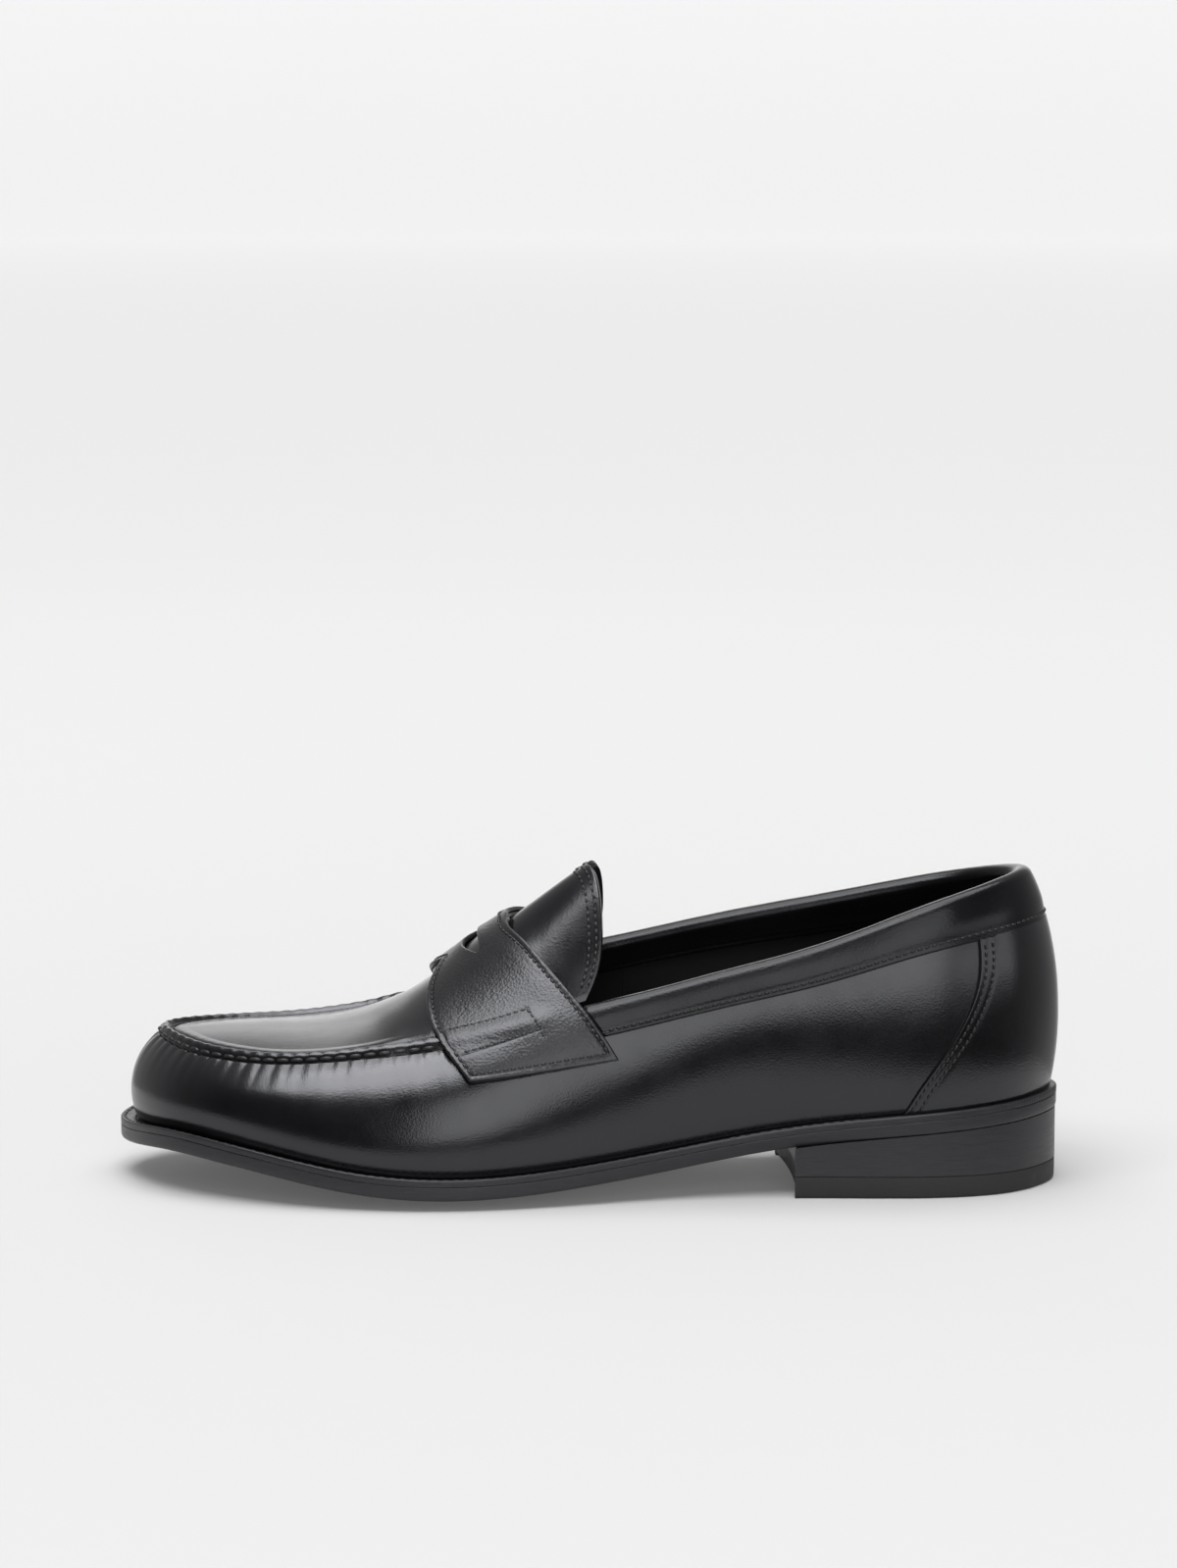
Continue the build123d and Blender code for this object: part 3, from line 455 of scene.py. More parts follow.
def facing(points, faces, outward):
    """The faces, turned round if they look against `outward`, which holds a vector for each point."""
    a, b, c = (points[faces[:, i]] for i in range(3))
    if (np.cross(b - a, c - a) * outward[faces[:, 0]]).sum() < 0:
        return faces[:, ::-1]
    return faces


def grid_normals(points, closed=False):
    """Unit normals of a grid of points."""
    if closed:
        wrapped = np.concatenate([points[-1:], points, points[:1]])
        along = np.gradient(wrapped, axis=0)[1:-1]
    else:
        along = np.gradient(points, axis=0)
    return unit(np.cross(along, np.gradient(points, axis=1)))


def turned_outward(points, outward):
    """The grid, its rows in reverse if its normals look against `outward`."""
    return points[::-1] if (grid_normals(points) * outward).sum() < 0 else points


def rounding(distance, radius):
    """How far a face drops towards its edge, at a distance from it."""
    reach = np.clip(radius - distance, 0, radius)
    return radius - np.sqrt(np.maximum(radius ** 2 - reach ** 2, 0))


def shares(length, count, radius, start=True, end=True):
    """Shares from 0 to 1 along lines of some length, close together near their free ends."""
    length = np.atleast_1d(np.asarray(length, float))[:, None]
    close = np.array([0.0, 0.08, 0.3, 0.62, 1.0]) * radius / length
    head = close if start else np.zeros_like(length)
    tail = 1 - close[:, ::-1] if end else np.ones_like(length)
    inner = np.linspace(0, 1, count - head.shape[1] - tail.shape[1] + 2)[1:-1]
    middle = head[:, -1:] + (tail[:, :1] - head[:, -1:]) * inner
    return np.concatenate([head, middle, tail], axis=1)


def shell(points, faces, normals, lift, thick, edge=None, radius=0.5):
    """A closed sheet on a surface: outer face with rounded edges, inner face, and rim."""
    n = len(points)
    drop = 0.0 if edge is None else rounding(edge, radius)[:, None]
    outer = points + normals * (np.reshape(lift, (-1, 1)) + thick - drop)
    inner = points + normals * np.reshape(lift, (-1, 1))
    sides = np.concatenate([faces[:, [i, (i + 1) % 4]] for i in range(4)])
    sides = sides[sides[:, 0] != sides[:, 1]]
    _, first, count = np.unique(np.sort(sides, axis=1), axis=0, return_index=True, return_counts=True)
    rim = sides[first[count == 1]]
    rim_faces = np.stack([rim[:, 1], rim[:, 0], rim[:, 0] + n, rim[:, 1] + n], axis=1)
    return np.concatenate([outer, inner]), np.concatenate([faces, faces[:, ::-1] + n, rim_faces])


def sheet(points, lift, thick, radius=0.5, edges="uUvV", closed=False):
    """A closed sheet on a grid of points. edges says which borders are rounded: u at the first row,
    U at the last, v at the first column, V at the last."""
    rows, columns = points.shape[:2]
    distance = np.full((rows, columns), 1e3)
    for axis, first, last in ((0, "u", "U"), (1, "v", "V")):
        run = arc_length(np.moveaxis(points, axis, -2))
        run = np.moveaxis(run, -1, axis)
        if first in edges:
            distance = np.minimum(distance, run)
        if last in edges:
            distance = np.minimum(distance, np.take(run, [-1], axis=axis) - run)
    normals = grid_normals(points, closed).reshape(-1, 3)
    lift = np.broadcast_to(lift, (rows, columns)).reshape(-1)
    return shell(points.reshape(-1, 3), grid_faces(rows, columns, closed), normals, lift, thick,
                 distance.reshape(-1), radius)


def mesh_object(name, points, faces, material, merge, closed):
    """A smooth Blender object from points in metres and quads. Points closer than `merge` become one."""
    mesh = bpy.data.meshes.new(name)
    mesh.from_pydata(points.reshape(-1, 3).tolist(), [], faces.tolist())
    work = bmesh.new()
    work.from_mesh(mesh)
    bmesh.ops.remove_doubles(work, verts=work.verts, dist=merge)
    if closed:
        bmesh.ops.dissolve_degenerate(work, edges=work.edges, dist=merge / 2)
        bmesh.ops.recalc_face_normals(work, faces=work.faces)
    work.to_mesh(mesh)
    work.free()
    mesh.shade_smooth()
    mesh.materials.append(material)
    thing = bpy.data.objects.new(name, mesh)
    bpy.context.scene.collection.objects.link(thing)
    return thing


def piece(name, mesh_data, material, nodes):
    """A piece of the shoe from points in millimetres and quads, in the place of its CAD nodes."""
    points, faces = mesh_data
    thing = mesh_object(name, place(points), faces, material, MERGE, closed=True)
    thing.data.set_sharp_from_angle(angle=math.radians(SHARP_ANGLE))
    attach(thing, "root")
    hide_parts(*nodes)
    return thing


# ---------------------------------------------------------------- stitches
def stitch_row(line, normals, pitch, cover=0.78, wide=0.72, high=0.5, rise=0.2, sink=0.0, start=0.5):
    """Separate stitches along a line on a surface, each a short thread whose ends dive in."""
    run = arc_length(line)
    count = max(int(round(run[-1] / pitch)), 1)
    centres = (np.arange(count) + start) * run[-1] / count
    ring = np.linspace(-1, 1, 7)
    at = centres[:, None] + ring * run[-1] / count * cover / 2
    spot, normal = (np.stack([np.interp(at, run, values[:, i]) for i in range(3)], axis=-1)
                    for values in (line, normals))
    normal = unit(normal)
    along = unit(np.gradient(spot, axis=1))
    side = unit(np.cross(normal, along))
    fat = np.sqrt(1 - (0.97 * ring) ** 4)[None, :, None, None]
    arch = (rise * (1 - ring ** 2) - sink)[None, :, None]
    turn = np.linspace(0, 2 * math.pi, 8, endpoint=False)
    across = (np.cos(turn) * wide / 2)[None, None, :, None] * fat
    upward = (np.sin(turn) * high / 2)[None, None, :, None] * fat
    points = (spot + normal * arch)[:, :, None] + side[:, :, None] * across + normal[:, :, None] * upward
    count, rings, turns = points.shape[:3]
    one = grid_faces(turns, rings, closed=True)
    grid = points.transpose(0, 2, 1, 3)
    caps = []
    for end in (0, rings - 1):
        loop = np.arange(turns) * rings + end
        caps += [[loop[0], loop[1], loop[2], loop[3]], [loop[0], loop[3], loop[4], loop[7]],
                 [loop[4], loop[5], loop[6], loop[7]]]
    one = np.concatenate([one, np.array(caps)])
    faces = (one[None] + (np.arange(count) * rings * turns)[:, None, None]).reshape(-1, 4)
    return grid.reshape(-1, 3), faces


# ---------------------------------------------------------------- the wall and its seam
def seam_mask(row):
    """1 along the raised seam, 0 behind the strap."""
    return 1 - smooth_step(np.abs((row + HEEL_ROW) % ROWS - HEEL_ROW), 5.95, 6.3)


def make_vamp():
    rows = np.linspace(0, ROWS, 1120, endpoint=False)
    rises = np.concatenate([np.linspace(-0.03, 0.82, 34), np.linspace(0.82, 1.0, 24)[1:]])
    points = wall(rows[:, None], rises[None, :])
    normals = wall_normal(rows[:, None], np.broadcast_to(rises, points.shape[:2]))
    run = arc_length(points)
    from_top = run[:, -1:] - run
    signed = (rows + HEEL_ROW) % ROWS - HEEL_ROW
    mask = seam_mask(rows)[:, None]
    along = seam_length(signed)[:, None]
    phase = stitch_phase(signed)[:, None]
    pull = (0.5 - 0.5 * np.cos(2 * math.pi * phase)) ** 1.4
    uneven = 1 + 0.35 * np.sin(along * 0.83) * np.sin(along * 0.31 + 1.0)
    relief = -groove(from_top, SEAM_GROOVE) * mask
    relief -= PLEATS[0] * pull * uneven * np.exp(-from_top / PLEATS[1]) * mask
    creases = np.sin(along * 2 * math.pi / CREASES[1] + 0.9 * np.sin(along / 9.0))
    relief += CREASES[0] * creases * bell(from_top - 5, 7) * mask
    relief += 0.14 * waves(points, 40, 1) + 0.02 * waves(points, 13, 2)
    points = points + normals * relief[..., None]
    return sheet(points, -UPPER_LEATHER, UPPER_LEATHER, edges="", closed=True)


def inset_plan(rows, insets):
    """Plan points beside the wall's upper edge, moved in from it by each inset."""
    here, outward = plan_outward(rows, 2)
    return here[:, None] - outward[:, None] * insets[None, :, None]


def over_arch(plan):
    x, y = plan[..., 0], plan[..., 1]
    return np.concatenate([plan, arch_z(x, y, tongue_tuck(x))[..., None]], axis=-1)


def seam_strip(rows):
    """The apron's border: raised seam, valley of the fine row, and the run-out to the middle."""
    knots = np.array([p[0] for p in SEAM_SECTION])
    section = Curve(knots, [p[1] for p in SEAM_SECTION])
    insets = np.concatenate([np.linspace(knots[0], 4.4, 30), np.linspace(4.4, knots[-1], 9)[1:]])
    anchor = 0.6
    plan = inset_plan(rows, insets)
    base = over_arch(plan)
    edge_height = station(rows)[:, 4:5]
    near = over_arch(inset_plan(rows, np.array([anchor])))[..., 2]
    share = insets[None, :] / anchor
    outside = edge_height * (1 - share) + near * share
    base[..., 2] = np.where(insets[None, :] < anchor, outside, base[..., 2])
    pull = 0.5 - 0.5 * np.cos(2 * math.pi * stitch_phase(rows))
    squeeze = 1 - 0.10 * pull
    height = section(insets)[:, 0]
    lift = np.where(height > 0, height * squeeze[:, None], height)
    base[..., 2] += lift
    return base


def apron_patch(rows):
    """The apron between its seam borders, as chords from one side to the other."""
    half = len(rows) // 2
    edge = inset_plan(rows, np.array([SEAM_SECTION[-1][0]]))[:, 0]
    outer, inner = edge[half:], edge[half::-1]
    share = (1 - np.cos(np.linspace(0, math.pi, 61))) / 2
    share = 0.5 * share + 0.5 * np.linspace(0, 1, 61)
    plan = outer[:, None] * (1 - share)[None, :, None] + inner[:, None] * share[None, :, None]
    return plan, share


def tongue_patch(first_line, share, count=70):
    """The tongue, from a line across the apron back to its free end."""
    side = 1 - 2 * share
    end = tongue_end_x(np.abs(side))
    k = shares(50, count, 0.6, start=False)[0][:, None]
    x = first_line[:, 0] * (1 - k) + end * k
    middle, half = opening(x)
    inset = SEAM_SECTION[-1][0] * (1 - smooth_step(k, 0, 0.3)) + TONGUE_INSET * smooth_step(k, 0, 0.3)
    half = half - inset - tongue_tuck(x)
    y = middle + half * side
    fade = smooth_step(k, 0, 0.12)
    return np.stack([x, y * fade + first_line[:, 1] * (1 - fade)], axis=-1)


def relief_on_apron(points):
    """Soft unevenness of the apron and tongue."""
    x = points[..., 0]
    calm = smooth_step(x, -10, 30) * 0.5 + 0.5
    depth, middle, reach = APRON_FOLD
    fold = depth * np.sin(x / 3.1 + 0.8 * np.sin(points[..., 1] / 11)) * bell(x - middle, reach)
    return (0.16 * waves(points, 30, 3) + 0.05 * waves(points, 12, 4)) * calm + fold


def make_apron():
    rows = np.linspace(-SEAM_END, SEAM_END, 561)
    strip = seam_strip(rows)
    plan, share = apron_patch(rows)
    centre = over_arch(plan)
    tongue = over_arch(tongue_patch(centre[-1, :, :2], share))
    parts = []
    for grid in (strip, centre, tongue):
        flat = grid.reshape(-1, 3)
        parts.append((flat, facing(flat, grid_faces(*grid.shape[:2]), np.full_like(flat, UP))))
    points, faces, _ = welded(*joined(*parts))
    normals = point_normals(points, faces)
    points = points + normals * relief_on_apron(points)[:, None]
    end_distance = tongue_distance(points)
    return shell(points, faces, normals, -UPPER_LEATHER, UPPER_LEATHER, end_distance, 0.55)


def tongue_distance(points):
    """Distance in plan from the tongue's free end, for rounding it."""
    x, y = points[:, 0], points[:, 1]
    middle, half = opening(x)
    half = half - TONGUE_INSET - tongue_tuck(x)
    side = np.clip(np.abs(y - middle) / np.maximum(half, 1), 0, 1)
    from_end = (x - tongue_end_x(side)) * 1.25
    from_side = (1 - side) * np.maximum(half, 1) * 1.6
    behind_strap = x < 24
    return np.where(behind_strap, np.minimum(from_end, from_side), np.abs(from_end) + 5)


def make_apron_lining():
    rows = np.linspace(-SEAM_END, SEAM_END, 121)
    plan, share = apron_patch(rows)
    tongue_plan = tongue_patch(plan[-1], share, 50)
    grid = over_arch(np.concatenate([plan, tongue_plan[1:]]))
    normals = grid_normals(grid)
    normals = normals * np.sign(normals[..., 2:3])
    top = UPPER_LEATHER + GLUE
    base = grid.reshape(-1, 3), grid_faces(*grid.shape[:2])
    return shell(*base, normals.reshape(-1, 3), -(top + LINING), LINING,
                 tongue_distance(base[0]), 0.35)


def arch_line(plan, lift=0.0):
    """Points and normals on the apron or tongue over plan points."""
    step = 0.05
    slopes = []
    for move in ((step, 0.0), (0.0, step)):
        slopes.append((over_arch(plan + move) - over_arch(plan - move))[:, 2] / (2 * step))
    normal = unit(np.stack([-slopes[0], -slopes[1], np.ones(len(plan))], axis=-1))
    return over_arch(plan) + normal * lift, normal


def make_seam_stitches():
    """The thick hand stitches at the foot of the raised seam."""
    count = int(seam_length(SEAM_END - 0.05) / SEAM_PITCH)
    edges = (np.arange(-count, count + 1) - 0.5) * SEAM_PITCH
    rows = np.interp(np.linspace(edges[0], edges[-1], 1600), seam_arc, seam_rows)
    top = wall(rows, np.ones_like(rows))
    _, outward = plan_outward(rows, 2)
    out = np.concatenate([outward, np.zeros((len(rows), 1))], axis=-1)
    line = top + out * 0.42 + UP * 0.02
    normals = unit(out + UP * 0.55)
    return stitch_row(line, normals, SEAM_PITCH, cover=0.80, wide=1.15, high=0.85, rise=0.30, sink=0.12)


def make_bead_stitches():
    """The fine double row beside the raised seam."""
    rows = np.interp(np.linspace(seam_length(-SEAM_END + 0.1), seam_length(SEAM_END - 0.1), 1500),
                     seam_arc, seam_rows)
    parts = []
    for side, start in ((-0.36, 0.35), (0.36, 0.65)):
        plan = inset_plan(rows, np.array([BEAD_INSET + side]))[:, 0]
        line, normals = arch_line(plan, 0.02)
        parts.append(stitch_row(line, normals, BEAD_PITCH, 0.82, 0.52, 0.46, 0.12, 0.02, start))
    return joined(*parts)


def make_tongue_stitches():
    parts = []
    for back in TONGUE_ROWS:
        side = np.linspace(0.93, -0.93, 200)
        x = tongue_end_x(np.abs(side)) + back
        middle, half = opening(x)
        y = middle + (half - TONGUE_INSET - TONGUE_TUCK) * side
        line, normals = arch_line(np.stack([x, y], axis=-1), 0.06)
        parts.append(stitch_row(line, normals, FINE_PITCH))
    return joined(*parts)


# ---------------------------------------------------------------- strap
STRAP_X = np.arange(-16.0, 56.1, 2.0)
STRAP_KNOTS = np.linspace(-1, 1, 21)


def strap_rib(x):
    """Points at even shares over the shoe at station x, and the share where the seam lies under it."""
    drop = STRAP_DROP[0] - STRAP_DROP[1] * x
    rises = np.linspace(0.4, 1, 61)
    pieces = []
    for side in (1, -1):
        y, z, row = edge_at(x, side)
        leg = wall(np.full_like(rises, float(row)), rises)
        foot = np.interp(z - drop, leg[:, 2], rises)
        pieces.append(wall(np.full(12, float(row)), np.linspace(foot, 1, 12)))
    x_line, y = (np.linspace(pieces[0][-1][i], pieces[1][-1][i], 61)[1:-1] for i in (0, 1))
    over = np.stack([x_line, y, arch_z(x_line, y)], axis=-1)
    line = np.concatenate([pieces[0], over, pieces[1][::-1]])
    length = arc_length(line)
    peak = length[41]
    share = np.where(length < peak, 1 - length / peak, -(length - peak) / (length[-1] - peak))
    points = np.stack([np.interp(STRAP_KNOTS, share[::-1], line[::-1, i]) for i in range(3)], axis=-1)
    return points, (share[11], -share[71]), (peak, length[-1] - peak)


ribs = [strap_rib(x) for x in STRAP_X]
rib_points = Curve(STRAP_X, [r[0].reshape(-1) for r in ribs])
rib_seams = Curve(STRAP_X, [r[1] for r in ribs])
rib_lengths = Curve(STRAP_X, [r[2] for r in ribs])
rib_weights = Curve(STRAP_KNOTS, np.eye(len(STRAP_KNOTS)))


def saddle(x, share):
    """The surface over the instep that the strap lies on: station x, and share across from 1 to -1."""
    x, share = np.broadcast_arrays(np.asarray(x, float), np.asarray(share, float))
    knots = rib_points(x).reshape(x.shape + (len(STRAP_KNOTS), 3))
    return np.einsum("...k,...kc->...c", rib_weights(share), knots)


def saddle_normal(x, share):
    step, turn = 0.4, 0.006
    along = saddle(x + step, share) - saddle(x - step, share)
    across = saddle(x, np.clip(share + turn, -1, 1)) - saddle(x, np.clip(share - turn, -1, 1))
    return unit(np.cross(along, across))


def seam_bump(x, share):
    """The raised seam showing through the strap."""
    seam = rib_seams(x)
    length = rib_lengths(x)
    which = np.where(share > 0, 0, 1)
    seam = np.take_along_axis(seam, which[..., None], -1)[..., 0]
    length = np.take_along_axis(length, which[..., None], -1)[..., 0]
    distance = (np.abs(share) - seam) * length
    return groove(distance + 0.6, SEAM_UNDER_STRAP) * smooth_step(x, 6, 20)


def slit_gap(share):
    """0 outside the slit, rising to 1 at its middle."""
    return np.maximum(1 - (share / SLIT_TIP) ** 2, 0)


BOX_CORNERS = [(41.9, 0.68), (18.2, 0.68), (14.2, 0.80), (37.8, 0.835)]


def box_line(corners, side, count=60):
    """A line through the corners of the sewn box, as x and share."""
    points = np.array(corners)
    run = np.concatenate([[0], np.cumsum(np.hypot(np.diff(points[:, 0]), np.diff(points[:, 1]) * 80))])
    at = np.linspace(0, run[-1], count)
    return np.interp(at, run, points[:, 0]), np.interp(at, run, points[:, 1]) * side


STRAP_HIGH = STRAP_LIFT + STRAP_BACKING + GLUE + STRAP_LEATHER


def strap_relief(x, share, from_edge):
    """Height of the strap's face over its plain thickness."""
    points = saddle(x, share)
    relief = seam_bump(x, share)
    relief -= groove(from_edge - STRAP_ROW, STRAP_GROOVE)
    relief += 0.14 * smooth_step(from_edge, 2.6, 7.0)
    for side in (1, -1):
        for (xa, sa), (xb, sb) in zip(BOX_CORNERS, BOX_CORNERS[1:]):
            length = rib_lengths(x)[..., 0]
            ax, ay = xb - xa, (sb - sa) * RIB_HALF
            px, py = x - xa, (share * side - sa) * length
            t = np.clip((px * ax + py * ay) / (ax * ax + ay * ay), 0, 1)
            relief -= groove(np.hypot(px - t * ax, py - t * ay), BOX_GROOVE)
    return relief + 0.10 * waves(points, 26, 5) + 0.04 * waves(points, 11, 6)


def strap_half(share, front):
    """One side of the strap's slit line, as a grid of x and share."""
    rear_edge, front_edge = strap_rear_x(np.abs(share)), strap_front_x(np.abs(share))
    gap = slit_gap(share)
    bow = SLIT_X - SLIT_SWEEP + (SLIT_SWEEP + 0.8) * gap
    slit = np.clip(bow, rear_edge + 3, front_edge - 1.2)
    if front:
        k = shares(np.maximum(front_edge - slit, 2), 26, 0.5)
        return slit[:, None] + (front_edge - slit)[:, None] * k
    slit = slit - SLIT_OPEN * gap ** 0.8
    k = shares(slit - rear_edge, 60, 0.5)
    return rear_edge[:, None] + (slit - rear_edge)[:, None] * k


def make_strap():
    ends = shares(2 * RIB_HALF, 330, 0.4)[0]
    share = 1 - 2 * ends
    fine = np.linspace(-SLIT_TIP, SLIT_TIP, 49)
    share = np.unique(np.concatenate([share[np.abs(share) > SLIT_TIP + 0.004], fine]))[::-1]
    parts = []
    edges = []
    for front in (False, True):
        x = strap_half(share, front)
        shares_2d = np.broadcast_to(share[:, None], x.shape)
        points = saddle(x, shares_2d)
        along = arc_length(points)
        across = np.minimum(1 - share, share + 1)[:, None] * RIB_HALF
        outer_run = along if not front else along[:, -1:] - along
        slit_run = along[:, -1:] - along if not front else along
        gap = slit_gap(share)[:, None]
        from_edge = np.minimum(outer_run, across)
        relief = strap_relief(x, shares_2d, from_edge)
        relief += groove(slit_run, SLIT_LIPS) * gap * (0.6 if front else 1.0)
        normals = saddle_normal(x, shares_2d)
        raised = points + normals * relief[..., None]
        faces = facing(raised.reshape(-1, 3), grid_faces(*x.shape), normals.reshape(-1, 3))
        parts.append((raised, faces))
        slit_drop = np.where(gap > 0.02, slit_run, 1e3)
        edges.append(np.minimum(from_edge, slit_drop).reshape(-1))
    points, faces, kept = welded(*joined(*parts))
    normals = point_normals(points, faces)
    low = STRAP_LIFT + STRAP_BACKING + GLUE
    return shell(points, faces, normals, low, STRAP_LEATHER, np.concatenate(edges)[kept], 0.5)


def make_strap_backing():
    share = 1 - 2 * shares(165, 90, 0.4)[0]
    rear, front = strap_rear_x(np.abs(share)), strap_front_x(np.abs(share))
    k = shares(front - rear, 34, 0.4)
    x = (rear + 0.35)[:, None] + (front - rear - 0.7)[:, None] * k
    side = np.broadcast_to(share[:, None] * 0.996, x.shape)
    points = saddle(x, side) + saddle_normal(x, side) * seam_bump(x, side)[..., None]
    return sheet(turned_outward(points, UP), STRAP_LIFT, STRAP_BACKING, 0.4)


def strap_line(x, share):
    """Points and normals on the strap's face along a line of x and share."""
    points = saddle(x, share)
    normals = saddle_normal(x, share)
    bump = seam_bump(x, share)[:, None]
    return points + normals * (STRAP_HIGH - 0.06 + bump), normals


def strap_stitches_along(x, share):
    return stitch_row(*strap_line(x, share), FINE_PITCH)


def make_strap_stitches():
    """Rows along the rear edge, along both ends, and along the front edge but where the box meets it."""
    span = np.linspace(0.962, -0.962, 500)
    parts = [strap_stitches_along(strap_rear_x(np.abs(span)) + STRAP_ROW, span)]
    for side in (1, -1):
        for span in (np.linspace(0.0, 0.70, 220), np.linspace(0.82, 0.965, 60)):
            parts.append(strap_stitches_along(strap_front_x(span) - STRAP_ROW, span * side))
        rear, front = strap_rear_x(STRAP_ROW_END) + STRAP_ROW, strap_front_x(STRAP_ROW_END) - STRAP_ROW
        x = rear + (front - rear) * np.linspace(0, 1, 80)
        parts.append(strap_stitches_along(x, np.full_like(x, STRAP_ROW_END * side)))
    return joined(*parts)


def make_box_stitches():
    parts = []
    for side in (1, -1):
        for pair in zip(BOX_CORNERS, BOX_CORNERS[1:]):
            parts.append(strap_stitches_along(*box_line(pair, side)))
    return joined(*parts)


# ---------------------------------------------------------------- top line and heel
def collar_section(row):
    """The surface that the binding is rolled over: down the wall, over its top, down the lining."""
    low = collar_rise(row)
    legs = shares((1 - low) * WALL_HEIGHT_TYPICAL, 16, 0.5, end=False)
    rise = low[:, None] + (1 - low[:, None]) * legs
    toward_end = ((row - HEEL_ROW) / (HEEL_ROW - COLLAR_START))[:, None]
    rows = row[:, None] - COLLAR_SLANT * toward_end * (1 - legs)
    face = wall(rows, rise)
    normal = wall_normal(rows, rise)
    outer_leg = face + normal * GLUE
    inner_leg = face - normal * (SANDWICH + GLUE)
    top = wall(row, np.ones_like(row))
    normal = wall_normal(row, np.ones_like(row))
    along = unit(wall(row + 0.02, 1.0) - wall(row - 0.02, 1.0))
    up = unit(np.cross(normal, along))
    up = up * np.sign(up[:, 2:3])
    centre = top - normal * SANDWICH / 2
    radius = SANDWICH / 2 + GLUE
    turn = np.linspace(0, math.pi, 15)[1:-1]
    roll = [centre + normal * radius * math.cos(a) + up * radius * math.sin(a) for a in turn]
    return np.concatenate([outer_leg, np.stack(roll, axis=1), inner_leg[:, ::-1]], axis=1)


def make_collar():
    row = np.linspace(COLLAR_START, ROWS - COLLAR_START, 460)
    points = collar_section(row)
    run = arc_length(points)
    other_run = run[:, -1:] - run
    stitch = groove(run - COLLAR_STITCH, COLLAR_GROOVE) + groove(other_run - COLLAR_STITCH, COLLAR_GROOVE)
    relief = COLLAR_PADDING * smooth_step(run, 2.5, 7) * smooth_step(other_run, 2.5, 7) - stitch
    relief += 0.07 * waves(points, 16, 7) + 0.03 * waves(points, 6, 8)
    if (grid_normals(points)[:, 0] * wall_normal(row, np.full_like(row, 0.9))).sum() < 0:
        points, relief = points[::-1], relief[::-1]
    return sheet(points, relief, BINDING, 0.6)


def make_collar_stitches():
    """The row along the binding's lower edge, on the outer face."""
    row = np.linspace(COLLAR_START + 0.1, ROWS - COLLAR_START - 0.1, 1500)
    low = collar_rise(row)
    rise = low + (1 - low) * np.minimum(COLLAR_STITCH / ((1 - low) * WALL_HEIGHT_TYPICAL), 0.4)
    toward_end = (row - HEEL_ROW) / (HEEL_ROW - COLLAR_START)
    rows = row - COLLAR_SLANT * toward_end * 0.8
    normals = wall_normal(rows, rise)
    line = wall(rows, rise) + normals * (GLUE + BINDING - THREAD_SUNK)
    return stitch_row(line, normals, FINE_PITCH)


def cover_row(rise, side):
    row = cover_edge_row(rise)
    return row if side > 0 else 2 * HEEL_ROW - row


def make_heel_cover():
    v = shares(45, 60, 0.5)[0]
    u = shares(115, 170, 0.5)[0]
    first, last = cover_row(v, 1), cover_row(v, -1)
    row = first[None, :] + (last - first)[None, :] * u[:, None]
    rise_2d = v[None, :] * (collar_rise(row) + 0.01)
    points = wall(row, rise_2d)
    points = turned_outward(points, wall_normal(row, np.clip(rise_2d, 0.01, 0.99)))
    relief = np.zeros(points.shape[:2])
    edge_run = arc_length(np.moveaxis(points, 0, -2)).T
    from_side = np.minimum(edge_run, edge_run[-1:] - edge_run)
    for inset in COVER_ROWS:
        relief -= groove(from_side - inset, COVER_GROOVE)
    relief += 0.12 * waves(points, 28, 9) + 0.04 * waves(points, 11, 10)
    return sheet(points, relief + GLUE, COVER_LEATHER, 0.5, edges="uUv")


def make_cover_stitches():
    parts = []
    for side in (1, -1):
        for inset in COVER_ROWS:
            share = np.linspace(0.02, 0.98, 260)
            row = cover_row(share, side)
            rise = share * collar_rise(row)
            ahead = wall(row + 0.05, rise) - wall(row - 0.05, rise)
            per_row = np.linalg.norm(ahead, axis=-1) / 0.1
            rows = row + side * inset / per_row
            normals = wall_normal(rows, rise)
            line = wall(rows, rise) + normals * (GLUE + COVER_LEATHER - THREAD_SUNK)
            parts.append(stitch_row(line, normals, FINE_PITCH))
    return joined(*parts)


# ---------------------------------------------------------------- linings
def wall_sheet(first, last, low, high, depth, thick, seed, count_u=120):
    """A sheet inside the wall, whose outer face lies `depth` under the wall's outer face."""
    row = np.linspace(first, last, count_u)
    rise = np.linspace(low, high, 30)
    points = wall(row[:, None], rise[None, :])
    normals = wall_normal(row[:, None], np.broadcast_to(rise, points.shape[:2]))
    points = points - normals * (depth + thick + 0.08 * waves(points, 22, seed)[..., None])
    return sheet(turned_outward(points, normals), 0.0, thick, 0.3)


def make_side_lining():
    first = LINING_SPLIT + LINING_GAP
    return wall_sheet(first, ROWS - first, 0.0, SIDE_LINING_TOP, SANDWICH - LINING, LINING, 11)


def make_fore_lining():
    return wall_sheet(-LINING_SPLIT, LINING_SPLIT, 0.0, FORE_LINING_TOP, SANDWICH - LINING, LINING, 16)


def make_heel_patch():
    return wall_sheet(HEEL_ROW - GRIP_ROWS, HEEL_ROW + GRIP_ROWS, *GRIP_RISE, SANDWICH + GLUE, GRIP, 17, 60)


